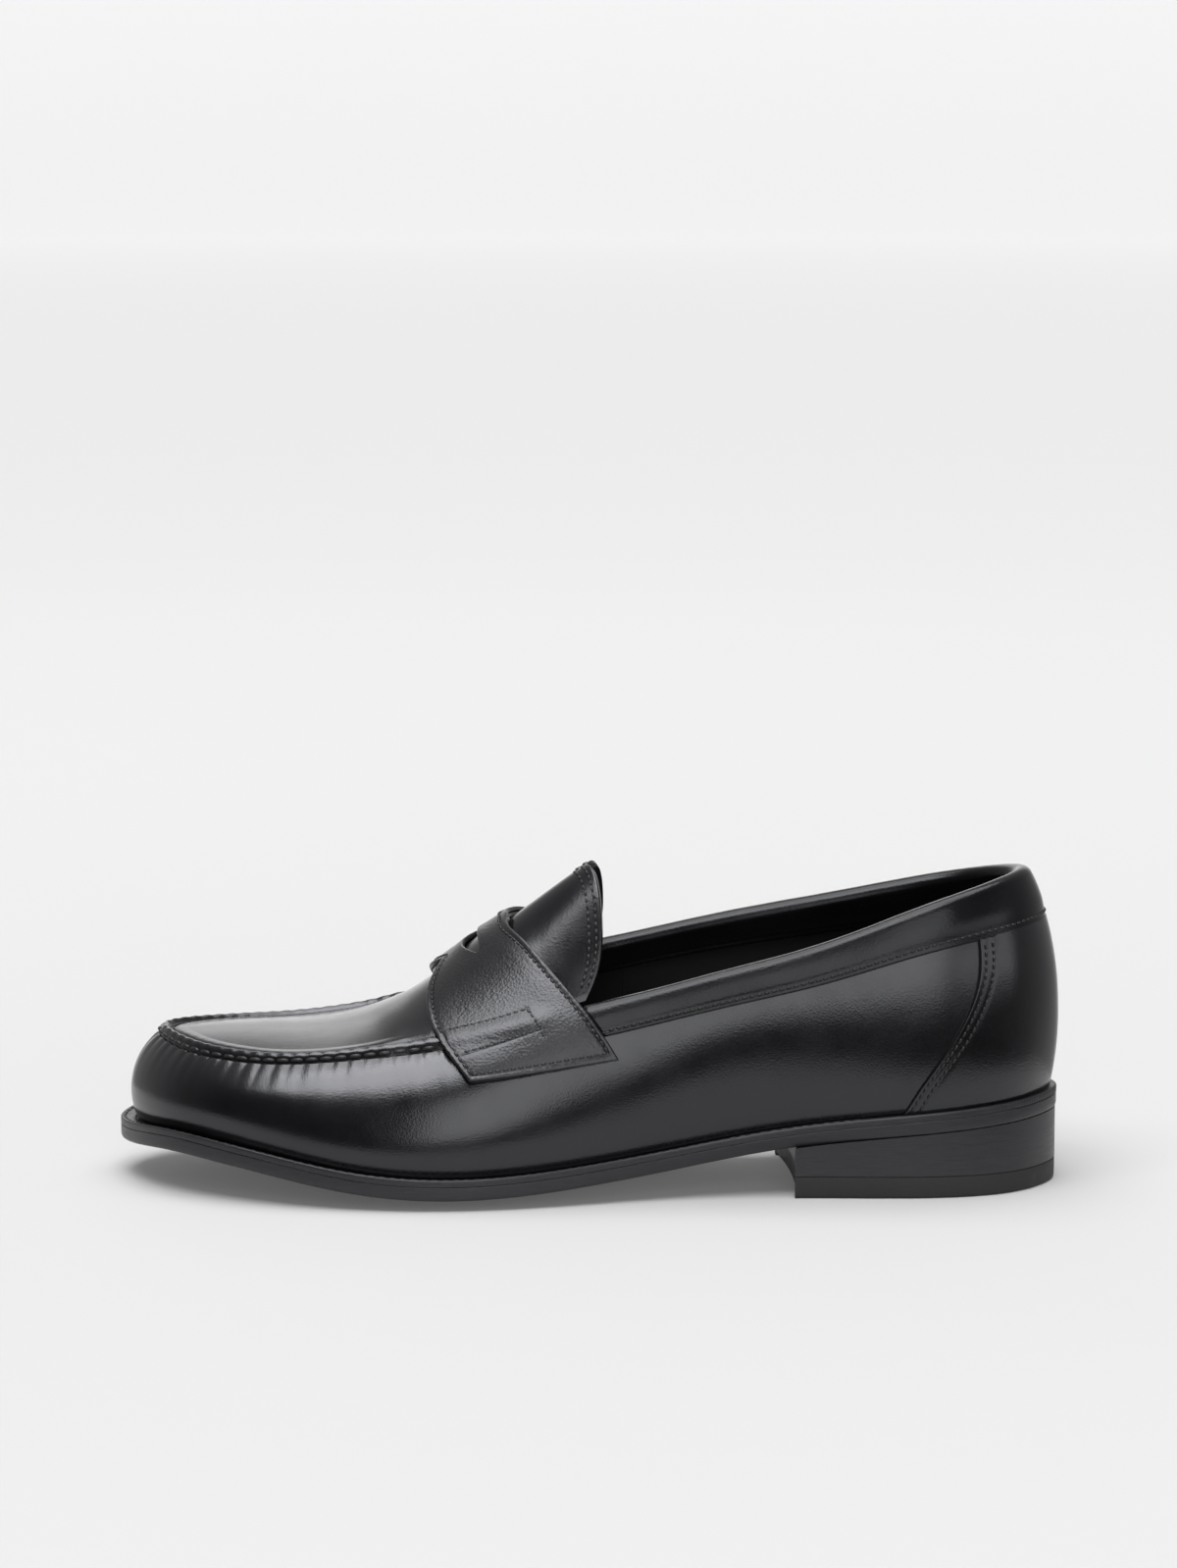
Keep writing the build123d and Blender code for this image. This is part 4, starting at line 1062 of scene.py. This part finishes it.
def sole_chords(inset, rows, columns):
    """Plan points across the bottom: from the toe to the heel, and from outer to inner side."""
    row = np.linspace(0, HEEL_ROW, rows)
    outer_here, outer_out = feather(row)
    inner_here, inner_out = feather(ROWS - row)
    outer = outer_here - outer_out * inset
    inner = inner_here - inner_out * inset
    share = np.linspace(0, 1, columns)[None, :, None]
    return outer[:, None] * (1 - share) + inner[:, None] * share


def make_sock():
    plan = sole_chords(SANDWICH + INSOLE_PLAY, 240, 41)
    x, y = plan[..., 0], plan[..., 1]
    height = sole_z(x, y, OUTSOLE_THICK + WELT_THICK + INSOLE_THICK + GLUE)
    points = np.concatenate([plan, height[..., None]], axis=-1)
    share = np.linspace(-1, 1, 41)[None, :]
    relief = 0.10 * waves(points, 30, 12) + 0.03 * waves(points, 12, 13)
    relief += 0.9 * np.abs(share) ** 8
    relief += 0.7 * bell(x + 112, 14) * (1 - share ** 2)
    if grid_normals(points)[..., 2].mean() < 0:
        points, relief = points[:, ::-1], relief[:, ::-1]
    return sheet(points, relief, SOCK, edges="")


# ---------------------------------------------------------------- bottom
def ring(loops):
    """Closed loops of points, one inside the next, as a grid that is closed along the loops."""
    return np.stack(loops, axis=1)


def sole_loop(rows, extra, height):
    plan = sole_outline(rows, extra)
    z = sole_z(plan[:, 0], plan[:, 1], 0.0) + height
    return np.concatenate([plan, np.reshape(z, (-1, 1))], axis=-1)


def waist(row):
    """1 at the narrow waist of the sole, where its edge is cut slanting."""
    side = np.abs((row + HEEL_ROW) % ROWS - HEEL_ROW)
    return bell(side - 9.3, 1.1)


def make_outsole():
    rows = np.linspace(0, ROWS, 900, endpoint=False)
    top = OUTSOLE_THICK - GLUE / 2
    rough = 0.05 * waves(sole_loop(rows, 0, 0), 9, 14)
    slant = 1.6 * waist(rows)
    section = [(3.0, top), (0.5, top), (0.12, top), (0.05, top - 0.03), (0.01, top - 0.1),
               (0.0, top - 0.3), (0.0, top * 0.55), (0.0, 1.1), (0.1, 0.62), (0.3, 0.26),
               (0.62, 0.06), (1.1, 0.0), (2.2, 0.0), (3.0, 0.0), (3.35, 0.0), (3.5, 0.16), (3.65, 0.0),
               (4.4, 0.0), (6.0, 0.0)]
    loops = []
    for inset, height in section:
        low = 1 - smooth_step(height, 0.0, top)
        loops.append(sole_loop(rows, inset + slant * low + rough * (height > 0.1), height))
    edge = ring(loops)
    parts = [(edge, grid_faces(len(rows), len(section), closed=True))]
    half = len(rows) // 2
    for loop in (edge[:, -1], edge[:, 0]):
        outer = loop[:half + 1]
        inside = np.concatenate([loop[:1], loop[:half - 1:-1]])
        share = np.linspace(0, 1, 40)[None, :, None]
        plate = outer[:, None] * (1 - share) + inside[:, None] * share
        flat = sole_z(plate[..., 0], plate[..., 1])
        plate[..., 2] = flat + (plate[..., 2][:, :1] - flat[:, :1])
        parts.append((plate, grid_faces(*plate.shape[:2])))
    return joined(*parts)


def make_welt():
    rows = np.linspace(0, ROWS, 1500, endpoint=False)
    base = OUTSOLE_THICK + GLUE / 2
    top = OUTSOLE_THICK + WELT_THICK
    ledge = ledge_width(rows % ROWS)
    heel_side = np.abs((rows + HEEL_ROW) % ROWS - HEEL_ROW)
    knurl = smooth_step(heel_side, 11.6, 12.2) * 0.16
    run = arc_length(sole_loop(rows, 0, 0))
    notch = knurl * (0.5 + 0.5 * np.sin(run * 2 * math.pi / 1.25))
    rough = 0.05 * waves(sole_loop(rows, 0, 0), 7, 15)
    loops = []
    section = [(0.12, base), (0.05, base + 0.03), (0.01, base + 0.1), (0.0, base + 0.3),
               (0.0, base + 1.0), (0.0, top - 0.5), (0.06, top - 0.22), (0.22, top - 0.05),
               (0.5, top + 0.05), (0.85, top), (1.1, top - 0.16), (1.35, top - 0.2), (1.6, top - 0.14),
               (1.9, top - 0.02)]
    for inset, height in section:
        loops.append(sole_loop(rows, inset + rough + notch * (inset < 0.3), height))
    for beyond, height in ((0.75, top - 0.02), (0.45, top - 0.25), (0.25, top - 0.7), (-0.6, top - 0.9),
                           (-3.4, top - 0.9), (-3.4, base)):
        loops.append(sole_loop(rows, np.maximum(ledge - beyond, 1.95), height))
    loops.append(loops[0])
    grid = ring(loops)
    return grid.reshape(-1, 3), grid_faces(len(rows), len(loops), closed=True)


def make_outsole_stitches():
    rows = np.linspace(-10.4, 10.4, 1500)
    plan = sole_outline(rows, 1.35)
    z = sole_z(plan[:, 0], plan[:, 1], OUTSOLE_THICK + WELT_THICK - 0.14)
    line = np.concatenate([plan, z[:, None]], axis=-1)
    normals = np.tile([0.0, 0.0, 1.0], (len(rows), 1))
    return stitch_row(line, normals, 3.2, 0.8, 0.75, 0.5, 0.12)


def breast_x(y):
    """The heel's front face, a shallow hollow arc: its x at y."""
    outer_x, inner_x = HEEL_BREAST
    line = (outer_x + inner_x) / 2 + (outer_x - inner_x) * np.asarray(y) / 64.0
    return line - BREAST_HOLLOW * (1 - (np.asarray(y) / 45.0) ** 2)


def heel_rows(inset):
    """First and last station row of the heel's side."""
    rows = np.linspace(8, 20, 2401)
    plan = sole_outline(rows, inset)
    inside = np.nonzero(plan[:, 0] < breast_x(plan[:, 1]))[0]
    return rows[inside[0]], rows[inside[-1]]


def heel_block(levels, columns=60):
    """A layer of the heel from loops at (inset, height function), closed above and below."""
    count = 361
    parts = []
    loops = []
    for inset, height in levels:
        first, last = heel_rows(inset)
        side = sole_outline(np.linspace(first, last, count), inset)
        y = np.linspace(side[-1, 1], side[0, 1], columns + 2)[1:-1]
        front = np.stack([breast_x(y) - inset, y], axis=-1)
        plan = np.concatenate([side, front])
        loops.append(np.concatenate([plan, height(plan[:, 0], plan[:, 1])[:, None]], axis=-1))
    edge = ring(loops)
    parts.append((edge, grid_faces(edge.shape[0], edge.shape[1], closed=True)))
    for loop, height in ((loops[0], levels[0][1]), (loops[-1], levels[-1][1])):
        side = loop[:count]
        half = count // 2
        outer, inner = side[:half + 1], side[:half - 1:-1]
        share = np.linspace(0, 1, columns + 2)
        plan = outer[:, None, :2] * (1 - share)[None, :, None] + inner[:, None, :2] * share[None, :, None]
        front = np.concatenate([side[:1, :2], loop[count:, :2][::-1], side[-1:, :2]])
        bend = front - plan[0]
        fade = (1 - np.linspace(0, 1, half + 1)) ** 3
        plan = plan + bend[None] * fade[:, None, None]
        z = height(plan[..., 0], plan[..., 1])
        plate = np.concatenate([plan, z[..., None]], axis=-1)
        parts.append((plate, grid_faces(*plate.shape[:2])))
    return joined(*parts)


def heel_level(share, shift):
    def level(x, y):
        return TOP_PIECE_THICK + (sole_z(x, y) - GLUE / 2 - TOP_PIECE_THICK) * share + shift
    return level


def make_lift(i):
    low, high = i / HEEL_LIFTS, (i + 1) / HEEL_LIFTS
    edge = 0.3
    groove = 0.012
    levels = [(edge + groove, heel_level(low, 0.008)), (edge, heel_level(low, 0.03)),
              (edge, heel_level(low, 0.06)), (edge, heel_level((low + high) / 2, 0.0)),
              (edge, heel_level(high, -0.06)), (edge, heel_level(high, -0.03)),
              (edge + groove, heel_level(high, -0.008))]
    return heel_block(levels)


def flat_level(z):
    def level(x, _):
        return np.full(np.shape(x), z)
    return level


def make_top_piece():
    section = [(2.0, 0.0), (1.1, 0.05), (0.75, 0.22), (0.5, 0.6), (0.42, 1.2), (0.36, 3.5), (0.36, 6.3),
               (0.42, 6.62), (0.6, 6.75), (0.62, 6.9), (0.9, TOP_PIECE_THICK)]
    return heel_block([(inset, flat_level(z)) for inset, z in section])


# ---------------------------------------------------------------- materials
def node_material(name):
    material = bpy.data.materials.new(name)
    material.use_nodes = True
    nodes = material.node_tree.nodes
    nodes.clear()
    out = nodes.new("ShaderNodeOutputMaterial")
    shader = nodes.new("ShaderNodeBsdfPrincipled")
    material.node_tree.links.new(shader.outputs["BSDF"], out.inputs["Surface"])
    return material, shader


def link(material, a, b):
    material.node_tree.links.new(a, b)


def texture(material, kind, result, stretch=(1, 1, 1), **values):
    """A procedural texture on the piece's own coordinates. Returns its result."""
    nodes = material.node_tree.nodes
    vector = nodes.new("ShaderNodeTexCoord").outputs["Object"]
    if stretch != (1, 1, 1):
        mapping = nodes.new("ShaderNodeMapping")
        mapping.inputs["Scale"].default_value = stretch
        link(material, vector, mapping.inputs["Vector"])
        vector = mapping.outputs["Vector"]
    node = nodes.new(kind)
    for key, value in values.items():
        node.inputs[key.title()].default_value = value
    link(material, vector, node.inputs["Vector"])
    return node.outputs[result]


def noise(material, size, detail=3.0):
    """Noise whose features are `size` metres wide."""
    return texture(material, "ShaderNodeTexNoise", "Fac", scale=1 / size, detail=detail, roughness=0.55)


def cells(material, size):
    """Distance from the middles of cells that are `size` metres wide."""
    return texture(material, "ShaderNodeTexVoronoi", "Distance", scale=1 / size, randomness=1.0)


def ramp(material, source, low, high, first, last):
    """Maps source from low..high to first..last."""
    node = material.node_tree.nodes.new("ShaderNodeMapRange")
    node.inputs["From Min"].default_value = low
    node.inputs["From Max"].default_value = high
    node.inputs["To Min"].default_value = first
    node.inputs["To Max"].default_value = last
    link(material, source, node.inputs["Value"])
    return node.outputs["Result"]


def mix_colour(material, factor, a, b):
    node = material.node_tree.nodes.new("ShaderNodeMix")
    node.data_type = "RGBA"
    colours = [s for s in node.inputs if s.type == "RGBA"]
    colours[0].default_value = (*a, 1)
    colours[1].default_value = (*b, 1)
    link(material, factor, node.inputs["Factor"])
    return [s for s in node.outputs if s.type == "RGBA"][0]


def bump(material, height, strength, distance, below=None):
    node = material.node_tree.nodes.new("ShaderNodeBump")
    node.inputs["Strength"].default_value = strength
    node.inputs["Distance"].default_value = distance
    link(material, height, node.inputs["Height"])
    if below is not None:
        link(material, below, node.inputs["Normal"])
    return node.outputs["Normal"]


def colour_and_polish(material, shader, mottle, polish, dark, light, rough, most=0.65):
    """Colour between dark and light by one pattern, and roughness in its range by another."""
    factor = ramp(material, mottle, 0.35, most, 0.0, 1.0)
    link(material, mix_colour(material, factor, dark, light), shader.inputs["Base Color"])
    link(material, ramp(material, polish, 0.3, 0.7, *rough), shader.inputs["Roughness"])


def leather_material(name, dark, light, rough, grain=0.0006, depth=0.22, specular=0.66):
    """Grained leather: small cells with fine pores, soft wrinkles, uneven polish."""
    material, shader = node_material(name)
    colour_and_polish(material, shader, noise(material, 0.03, 4.0), noise(material, 0.012, 5.0),
                      dark, light, rough)
    soft = bump(material, noise(material, 0.009, 1.0), 0.07, 0.0004)
    pores = bump(material, noise(material, grain * 0.6, 2.0), depth * 0.7, 0.00006, soft)
    link(material, bump(material, cells(material, grain), depth, 0.00010, pores), shader.inputs["Normal"])
    shader.inputs["Specular IOR Level"].default_value = specular
    shader.inputs["Specular Tint"].default_value = (0.94, 0.95, 1.0, 1)
    return material


STREAK_SCALE = (120, 120, 2600)    # streaks per metre along x, y and z


def edge_material(name, dark, light, rough):
    """Inked and burnished cut leather: faint lengthwise scratches and layer marks."""
    material, shader = node_material(name)
    streaks = texture(material, "ShaderNodeTexNoise", "Fac", STREAK_SCALE, scale=1.0, detail=5.0,
                      roughness=0.6)
    colour_and_polish(material, shader, streaks, streaks, dark, light, rough, most=0.7)
    first = bump(material, streaks, 0.18, 0.0002)
    link(material, bump(material, noise(material, 0.0009), 0.2, 0.00012, first), shader.inputs["Normal"])
    return material


def thread_material(name, colour):
    """Waxed twisted thread."""
    material, shader = node_material(name)
    fibres = noise(material, 0.00035)
    light = tuple(2.2 * c for c in colour)
    link(material, mix_colour(material, fibres, colour, light), shader.inputs["Base Color"])
    link(material, bump(material, fibres, 0.5, 0.00015), shader.inputs["Normal"])
    link(material, ramp(material, fibres, 0.3, 0.7, 0.34, 0.5), shader.inputs["Roughness"])
    return material


def plain_material(name, dark, light, rough, size, depth, metallic=0.0):
    """A plain material with mottled colour and fine relief."""
    material, shader = node_material(name)
    mottle = noise(material, size, 5.0)
    colour_and_polish(material, shader, mottle, mottle, dark, light, rough)
    link(material, bump(material, noise(material, size * 0.25, 4.0), 0.4, depth), shader.inputs["Normal"])
    shader.inputs["Metallic"].default_value = metallic
    return material


BLACK = (0.0026, 0.0026, 0.0031), (0.0044, 0.0044, 0.0052)
CALF = leather_material("black_calf", *BLACK, (0.18, 0.25))
STRAP_CALF = leather_material("strap_calf", *BLACK, (0.29, 0.36), grain=0.0009, depth=0.6)
BINDING_CALF = leather_material("binding_calf", *BLACK, (0.2, 0.28), grain=0.0007, depth=0.25,
                                specular=0.32)
LINING_SKIN = leather_material("lining_leather", (0.004, 0.004, 0.0044), (0.007, 0.007, 0.0075),
                               (0.5, 0.62), grain=0.0008, depth=0.25, specular=0.35)
SOLE_EDGE = edge_material("sole_leather", (0.009, 0.009, 0.0115), (0.017, 0.017, 0.021), (0.3, 0.46))
THREAD = thread_material("thread", (0.006, 0.006, 0.0068))
RUBBER = plain_material("rubber", (0.007, 0.007, 0.0078), (0.012, 0.012, 0.0132), (0.5, 0.68), 0.004,
                        0.0002)
SUEDE = plain_material("grip_suede", (0.004, 0.004, 0.0045), (0.008, 0.008, 0.0085), (0.7, 0.85), 0.003,
                       0.0003)
BOARD = plain_material("board", (0.28, 0.18, 0.11), (0.38, 0.26, 0.16), (0.8, 0.9), 0.002, 0.0002)
CORK = plain_material("cork", (0.26, 0.15, 0.08), (0.5, 0.33, 0.19), (0.85, 0.95), 0.003, 0.0004)
STIFFENER_SHEET = plain_material("stiffener", (0.5, 0.45, 0.36), (0.64, 0.6, 0.5), (0.8, 0.9), 0.002,
                                 0.0001)
STEEL = plain_material("steel", (0.42, 0.42, 0.44), (0.56, 0.56, 0.58), (0.25, 0.4), 0.002, 0.00005,
                       metallic=1.0)


# ---------------------------------------------------------------- the shoe
def make_shoe():
    piece("vamp_wall", make_vamp(), CALF, ["vamp"])
    piece("apron_skin", make_apron(), CALF, ["apron"])
    piece("tongue_lining", make_apron_lining(), LINING_SKIN, ["apron_lining"])
    piece("seam_stitches", make_seam_stitches(), THREAD, ["apron_seam_thread"])
    piece("bead_stitches", make_bead_stitches(), THREAD, ["apron_edge_stitching"])
    piece("tongue_stitches", make_tongue_stitches(), THREAD, ["tongue_stitching"])
    piece("saddle_strap", make_strap(), STRAP_CALF, ["strap"])
    piece("saddle_backing", make_strap_backing(), CALF, ["strap_backing"])
    piece("strap_stitches", make_strap_stitches(), THREAD, ["strap_stitching"])
    piece("box_stitches", make_box_stitches(), THREAD, ["strap_box_stitching"])
    piece("collar_binding", make_collar(), BINDING_CALF, ["collar"])
    piece("collar_stitches", make_collar_stitches(), THREAD, ["collar_stitching"])
    piece("counter_cover", make_heel_cover(), CALF, ["heel_cover"])
    piece("cover_stitches", make_cover_stitches(), THREAD, ["heel_cover_stitching"])
    piece("side_lining", make_side_lining(), LINING_SKIN, ["quarter_lining"])
    piece("fore_lining", make_fore_lining(), LINING_SKIN, ["vamp_lining"])
    piece("heel_patch", make_heel_patch(), SUEDE, ["heel_grip"])
    piece("sock", make_sock(), LINING_SKIN, ["sock_lining"])
    piece("sole", make_outsole(), SOLE_EDGE, ["outsole"])
    piece("welt_strip", make_welt(), SOLE_EDGE, ["welt"])
    piece("welt_stitches", make_outsole_stitches(), THREAD, ["outsole_stitching"])
    for i in range(HEEL_LIFTS):
        piece(f"lift_{i + 1}", make_lift(i), SOLE_EDGE, [f"heel_lift_{i + 1}"])
    piece("heel_rubber", make_top_piece(), RUBBER, ["top_piece"])
    kept = {"heel_nails": STEEL, "cork_filler": CORK, "shank": STEEL, "insole": BOARD,
            "toe_puff": STIFFENER_SHEET, "heel_stiffener": STIFFENER_SHEET}
    for node, material in kept.items():
        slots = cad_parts[node].data.materials
        slots.clear()
        slots.append(material)


# ---------------------------------------------------------------- studio
CAMERA_LENS = 124.87         # millimetres
CAMERA_SENSOR = 36.0
CAMERA_AWAY = 1.65812        # metres in front of the outer side
CAMERA_UP = 0.37953
CAMERA_TILT = 81.212         # degrees from straight down
CAMERA_REACH = 100.0
# Lights: place, size and power. A wide softbox hangs before and above the shoe, a larger one over it and
# a small one behind it. A tall white panel stands before the shoe, and a low one off its heel.
SOFTBOXES = {
    "softbox_main": ((0.30, 0.68, 1.47), (1.05, 0.70), 16.0),
    "softbox_over": ((-0.02, -0.1, 1.5), (1.3, 1.1), 19.0),
    "softbox_back": ((0.25, -1.4, 0.72), (0.6, 0.42), 0.9),
    "panel_tall": ((-0.25, 2.0, 0.72), (1.0, 1.42), 10.5),
    "panel_low": ((-1.5, 1.25, 0.42), (2.0, 0.6), 5.0),
}
LIGHT_AIM = Vector((0, 0, 0.05))
FLOOR_ALBEDO = 0.5
FLOOR_TONE = 0.871           # brightness of the floor, everywhere but in the shadow
AIR_ON_FLOOR = 0.17          # how much of that the air round the shoe gives
SPREAD_LOSS = 0.82           # a wide softbox gives less right below it than a small lamp would
NEAR_FLOOR = (0.32, 0.17)    # the floor beyond this ellipse isn't reflected in the shoe
NEAR_X = 0.07                # its middle lies towards the toe
FLOOR_REACH = 6.0
WALL_HEIGHT = 1.15
WALL_BEND = 0.6


def formula(material, kind, operation, result, *values):
    """A node that works out `operation` from sockets and numbers, in that order. Returns its result."""
    node = material.node_tree.nodes.new(kind)
    node.operation = operation
    for socket, value in zip(node.inputs, values):
        if isinstance(value, bpy.types.NodeSocket):
            link(material, value, socket)
        else:
            socket.default_value = value
    return node.outputs[result]


def math_node(material, operation, *values):
    return formula(material, "ShaderNodeMath", operation, "Value", *values)


def dot_node(material, a, b):
    return formula(material, "ShaderNodeVectorMath", "DOT_PRODUCT", "Value", a, b)


def light_from(material, position, spot, power):
    """What one softbox sends back from the floor: power * cos * cos / distance squared / pi squared."""
    ray = formula(material, "ShaderNodeVectorMath", "SUBTRACT", "Vector", spot, position)
    toward = dot_node(material, ray, (Vector(spot) - LIGHT_AIM).normalized())
    rising = dot_node(material, ray, (0, 0, 1))
    fourth = math_node(material, "POWER", dot_node(material, ray, ray), -2.0)
    share = math_node(material, "MULTIPLY", math_node(material, "MULTIPLY", toward, rising), fourth)
    return math_node(material, "MULTIPLY", math_node(material, "MAXIMUM", share, 0.0),
                     SPREAD_LOSS * power * FLOOR_ALBEDO / math.pi ** 2)


def paper_material():
    """Pale matt paper. Its own glow evens out the fall-off of the lights, so it is one tone all over."""
    material, shader = node_material("paper")
    shader.inputs["Base Color"].default_value = (FLOOR_ALBEDO, FLOOR_ALBEDO, FLOOR_ALBEDO, 1)
    shader.inputs["Roughness"].default_value = 1.0
    shader.inputs["Specular IOR Level"].default_value = 0.0
    shader.inputs["Emission Color"].default_value = (1, 1, 1, 1)
    position = material.node_tree.nodes.new("ShaderNodeNewGeometry").outputs["Position"]
    glow = FLOOR_TONE - AIR_ON_FLOOR
    for spot, _, power in SOFTBOXES.values():
        glow = math_node(material, "SUBTRACT", glow, light_from(material, position, spot, power))
    link(material, math_node(material, "MAXIMUM", glow, 0.0), shader.inputs["Emission Strength"])
    return material


def stage_ring(name, section, material):
    """A ring of floor or wall round the shoe, from (middle x, x radius, y radius, height) sets."""
    around = np.linspace(0, 2 * math.pi, 96, endpoint=False)
    points = np.array([[(x + rx * math.cos(a), ry * math.sin(a), z) for x, rx, ry, z in section]
                       for a in around])
    faces = grid_faces(96, len(section), closed=True)
    thing = mesh_object(name, points, faces, material, STAGE_MERGE, closed=False)
    return thing


def make_stage():
    """A round pale floor that curves up into a low wall far behind the shoe, on every side."""
    paper = paper_material()
    near_x, near_y = NEAR_FLOOR
    near = [(NEAR_X, k * near_x, k * near_y, 0.0) for k in (0.0, 0.4, 0.7, 1.0)]
    stage_ring("floor_near", near, paper)
    turn = np.linspace(0, math.pi / 2, 9)[1:]
    flat = [(r, 0.0) for r in (0.5, 0.8, 1.5, 3.0, FLOOR_REACH - WALL_BEND)]
    curve = [(FLOOR_REACH - WALL_BEND * (1 - math.sin(a)), WALL_BEND * (1 - math.cos(a))) for a in turn]
    rings = [(0.0, r, r, z) for r, z in flat + curve + [(FLOOR_REACH, WALL_HEIGHT)]]
    far = stage_ring("floor_far", near[-1:] + rings, paper)
    far.visible_glossy = False


def area_light(name, spot, size, power):
    light = bpy.data.lights.new(name, "AREA")
    light.shape = "RECTANGLE"
    light.size, light.size_y = size
    light.energy = power
    thing = bpy.data.objects.new(name, light)
    thing.location = spot
    aim = LIGHT_AIM - Vector(spot)
    thing.rotation_euler = aim.to_track_quat("-Z", "Y").to_euler()
    thing.visible_camera = False
    bpy.context.scene.collection.objects.link(thing)


def make_world():
    """Dim air: pale behind and beside the shoe, dark before it, as in a studio with black flags."""
    world = bpy.data.worlds.new("studio_air")
    world.use_nodes = True
    direction = world.node_tree.nodes.new("ShaderNodeTexCoord")
    axes = world.node_tree.nodes.new("ShaderNodeSeparateXYZ")
    link(world, direction.outputs["Generated"], axes.inputs["Vector"])
    world.node_tree.nodes["Background"].inputs["Color"].default_value = (1, 1, 1, 1)
    sides = ramp(world, axes.outputs["Y"], -0.6, 0.5, 0.42, 0.04)
    behind = ramp(world, axes.outputs["Y"], -1.0, -0.85, 1.0, 0.0)
    total = math_node(world, "ADD", sides, behind)
    link(world, total, world.node_tree.nodes["Background"].inputs["Strength"])
    bpy.context.scene.world = world


def make_studio():
    make_stage()
    for name, (spot, size, power) in SOFTBOXES.items():
        area_light(name, spot, size, power)
    make_world()
    bpy.context.scene.view_settings.view_transform = "Standard"
    bpy.context.scene.view_settings.look = "None"


def make_camera():
    """A long lens from the outer side, a little above the shoe."""
    low, high = CAD_BOX
    middle_x = (low.x + high.x) / 2
    data = bpy.data.cameras.new("camera")
    data.lens = CAMERA_LENS
    data.sensor_width = CAMERA_SENSOR
    data.clip_end = CAMERA_REACH
    camera = bpy.data.objects.new("camera", data)
    camera.location = (middle_x - 0.0002, CAMERA_AWAY, CAMERA_UP)
    camera.rotation_euler = (math.radians(CAMERA_TILT), 0.0, math.pi)
    bpy.context.scene.collection.objects.link(camera)
    bpy.context.scene.camera = camera


make_shoe()
make_studio()
make_camera()
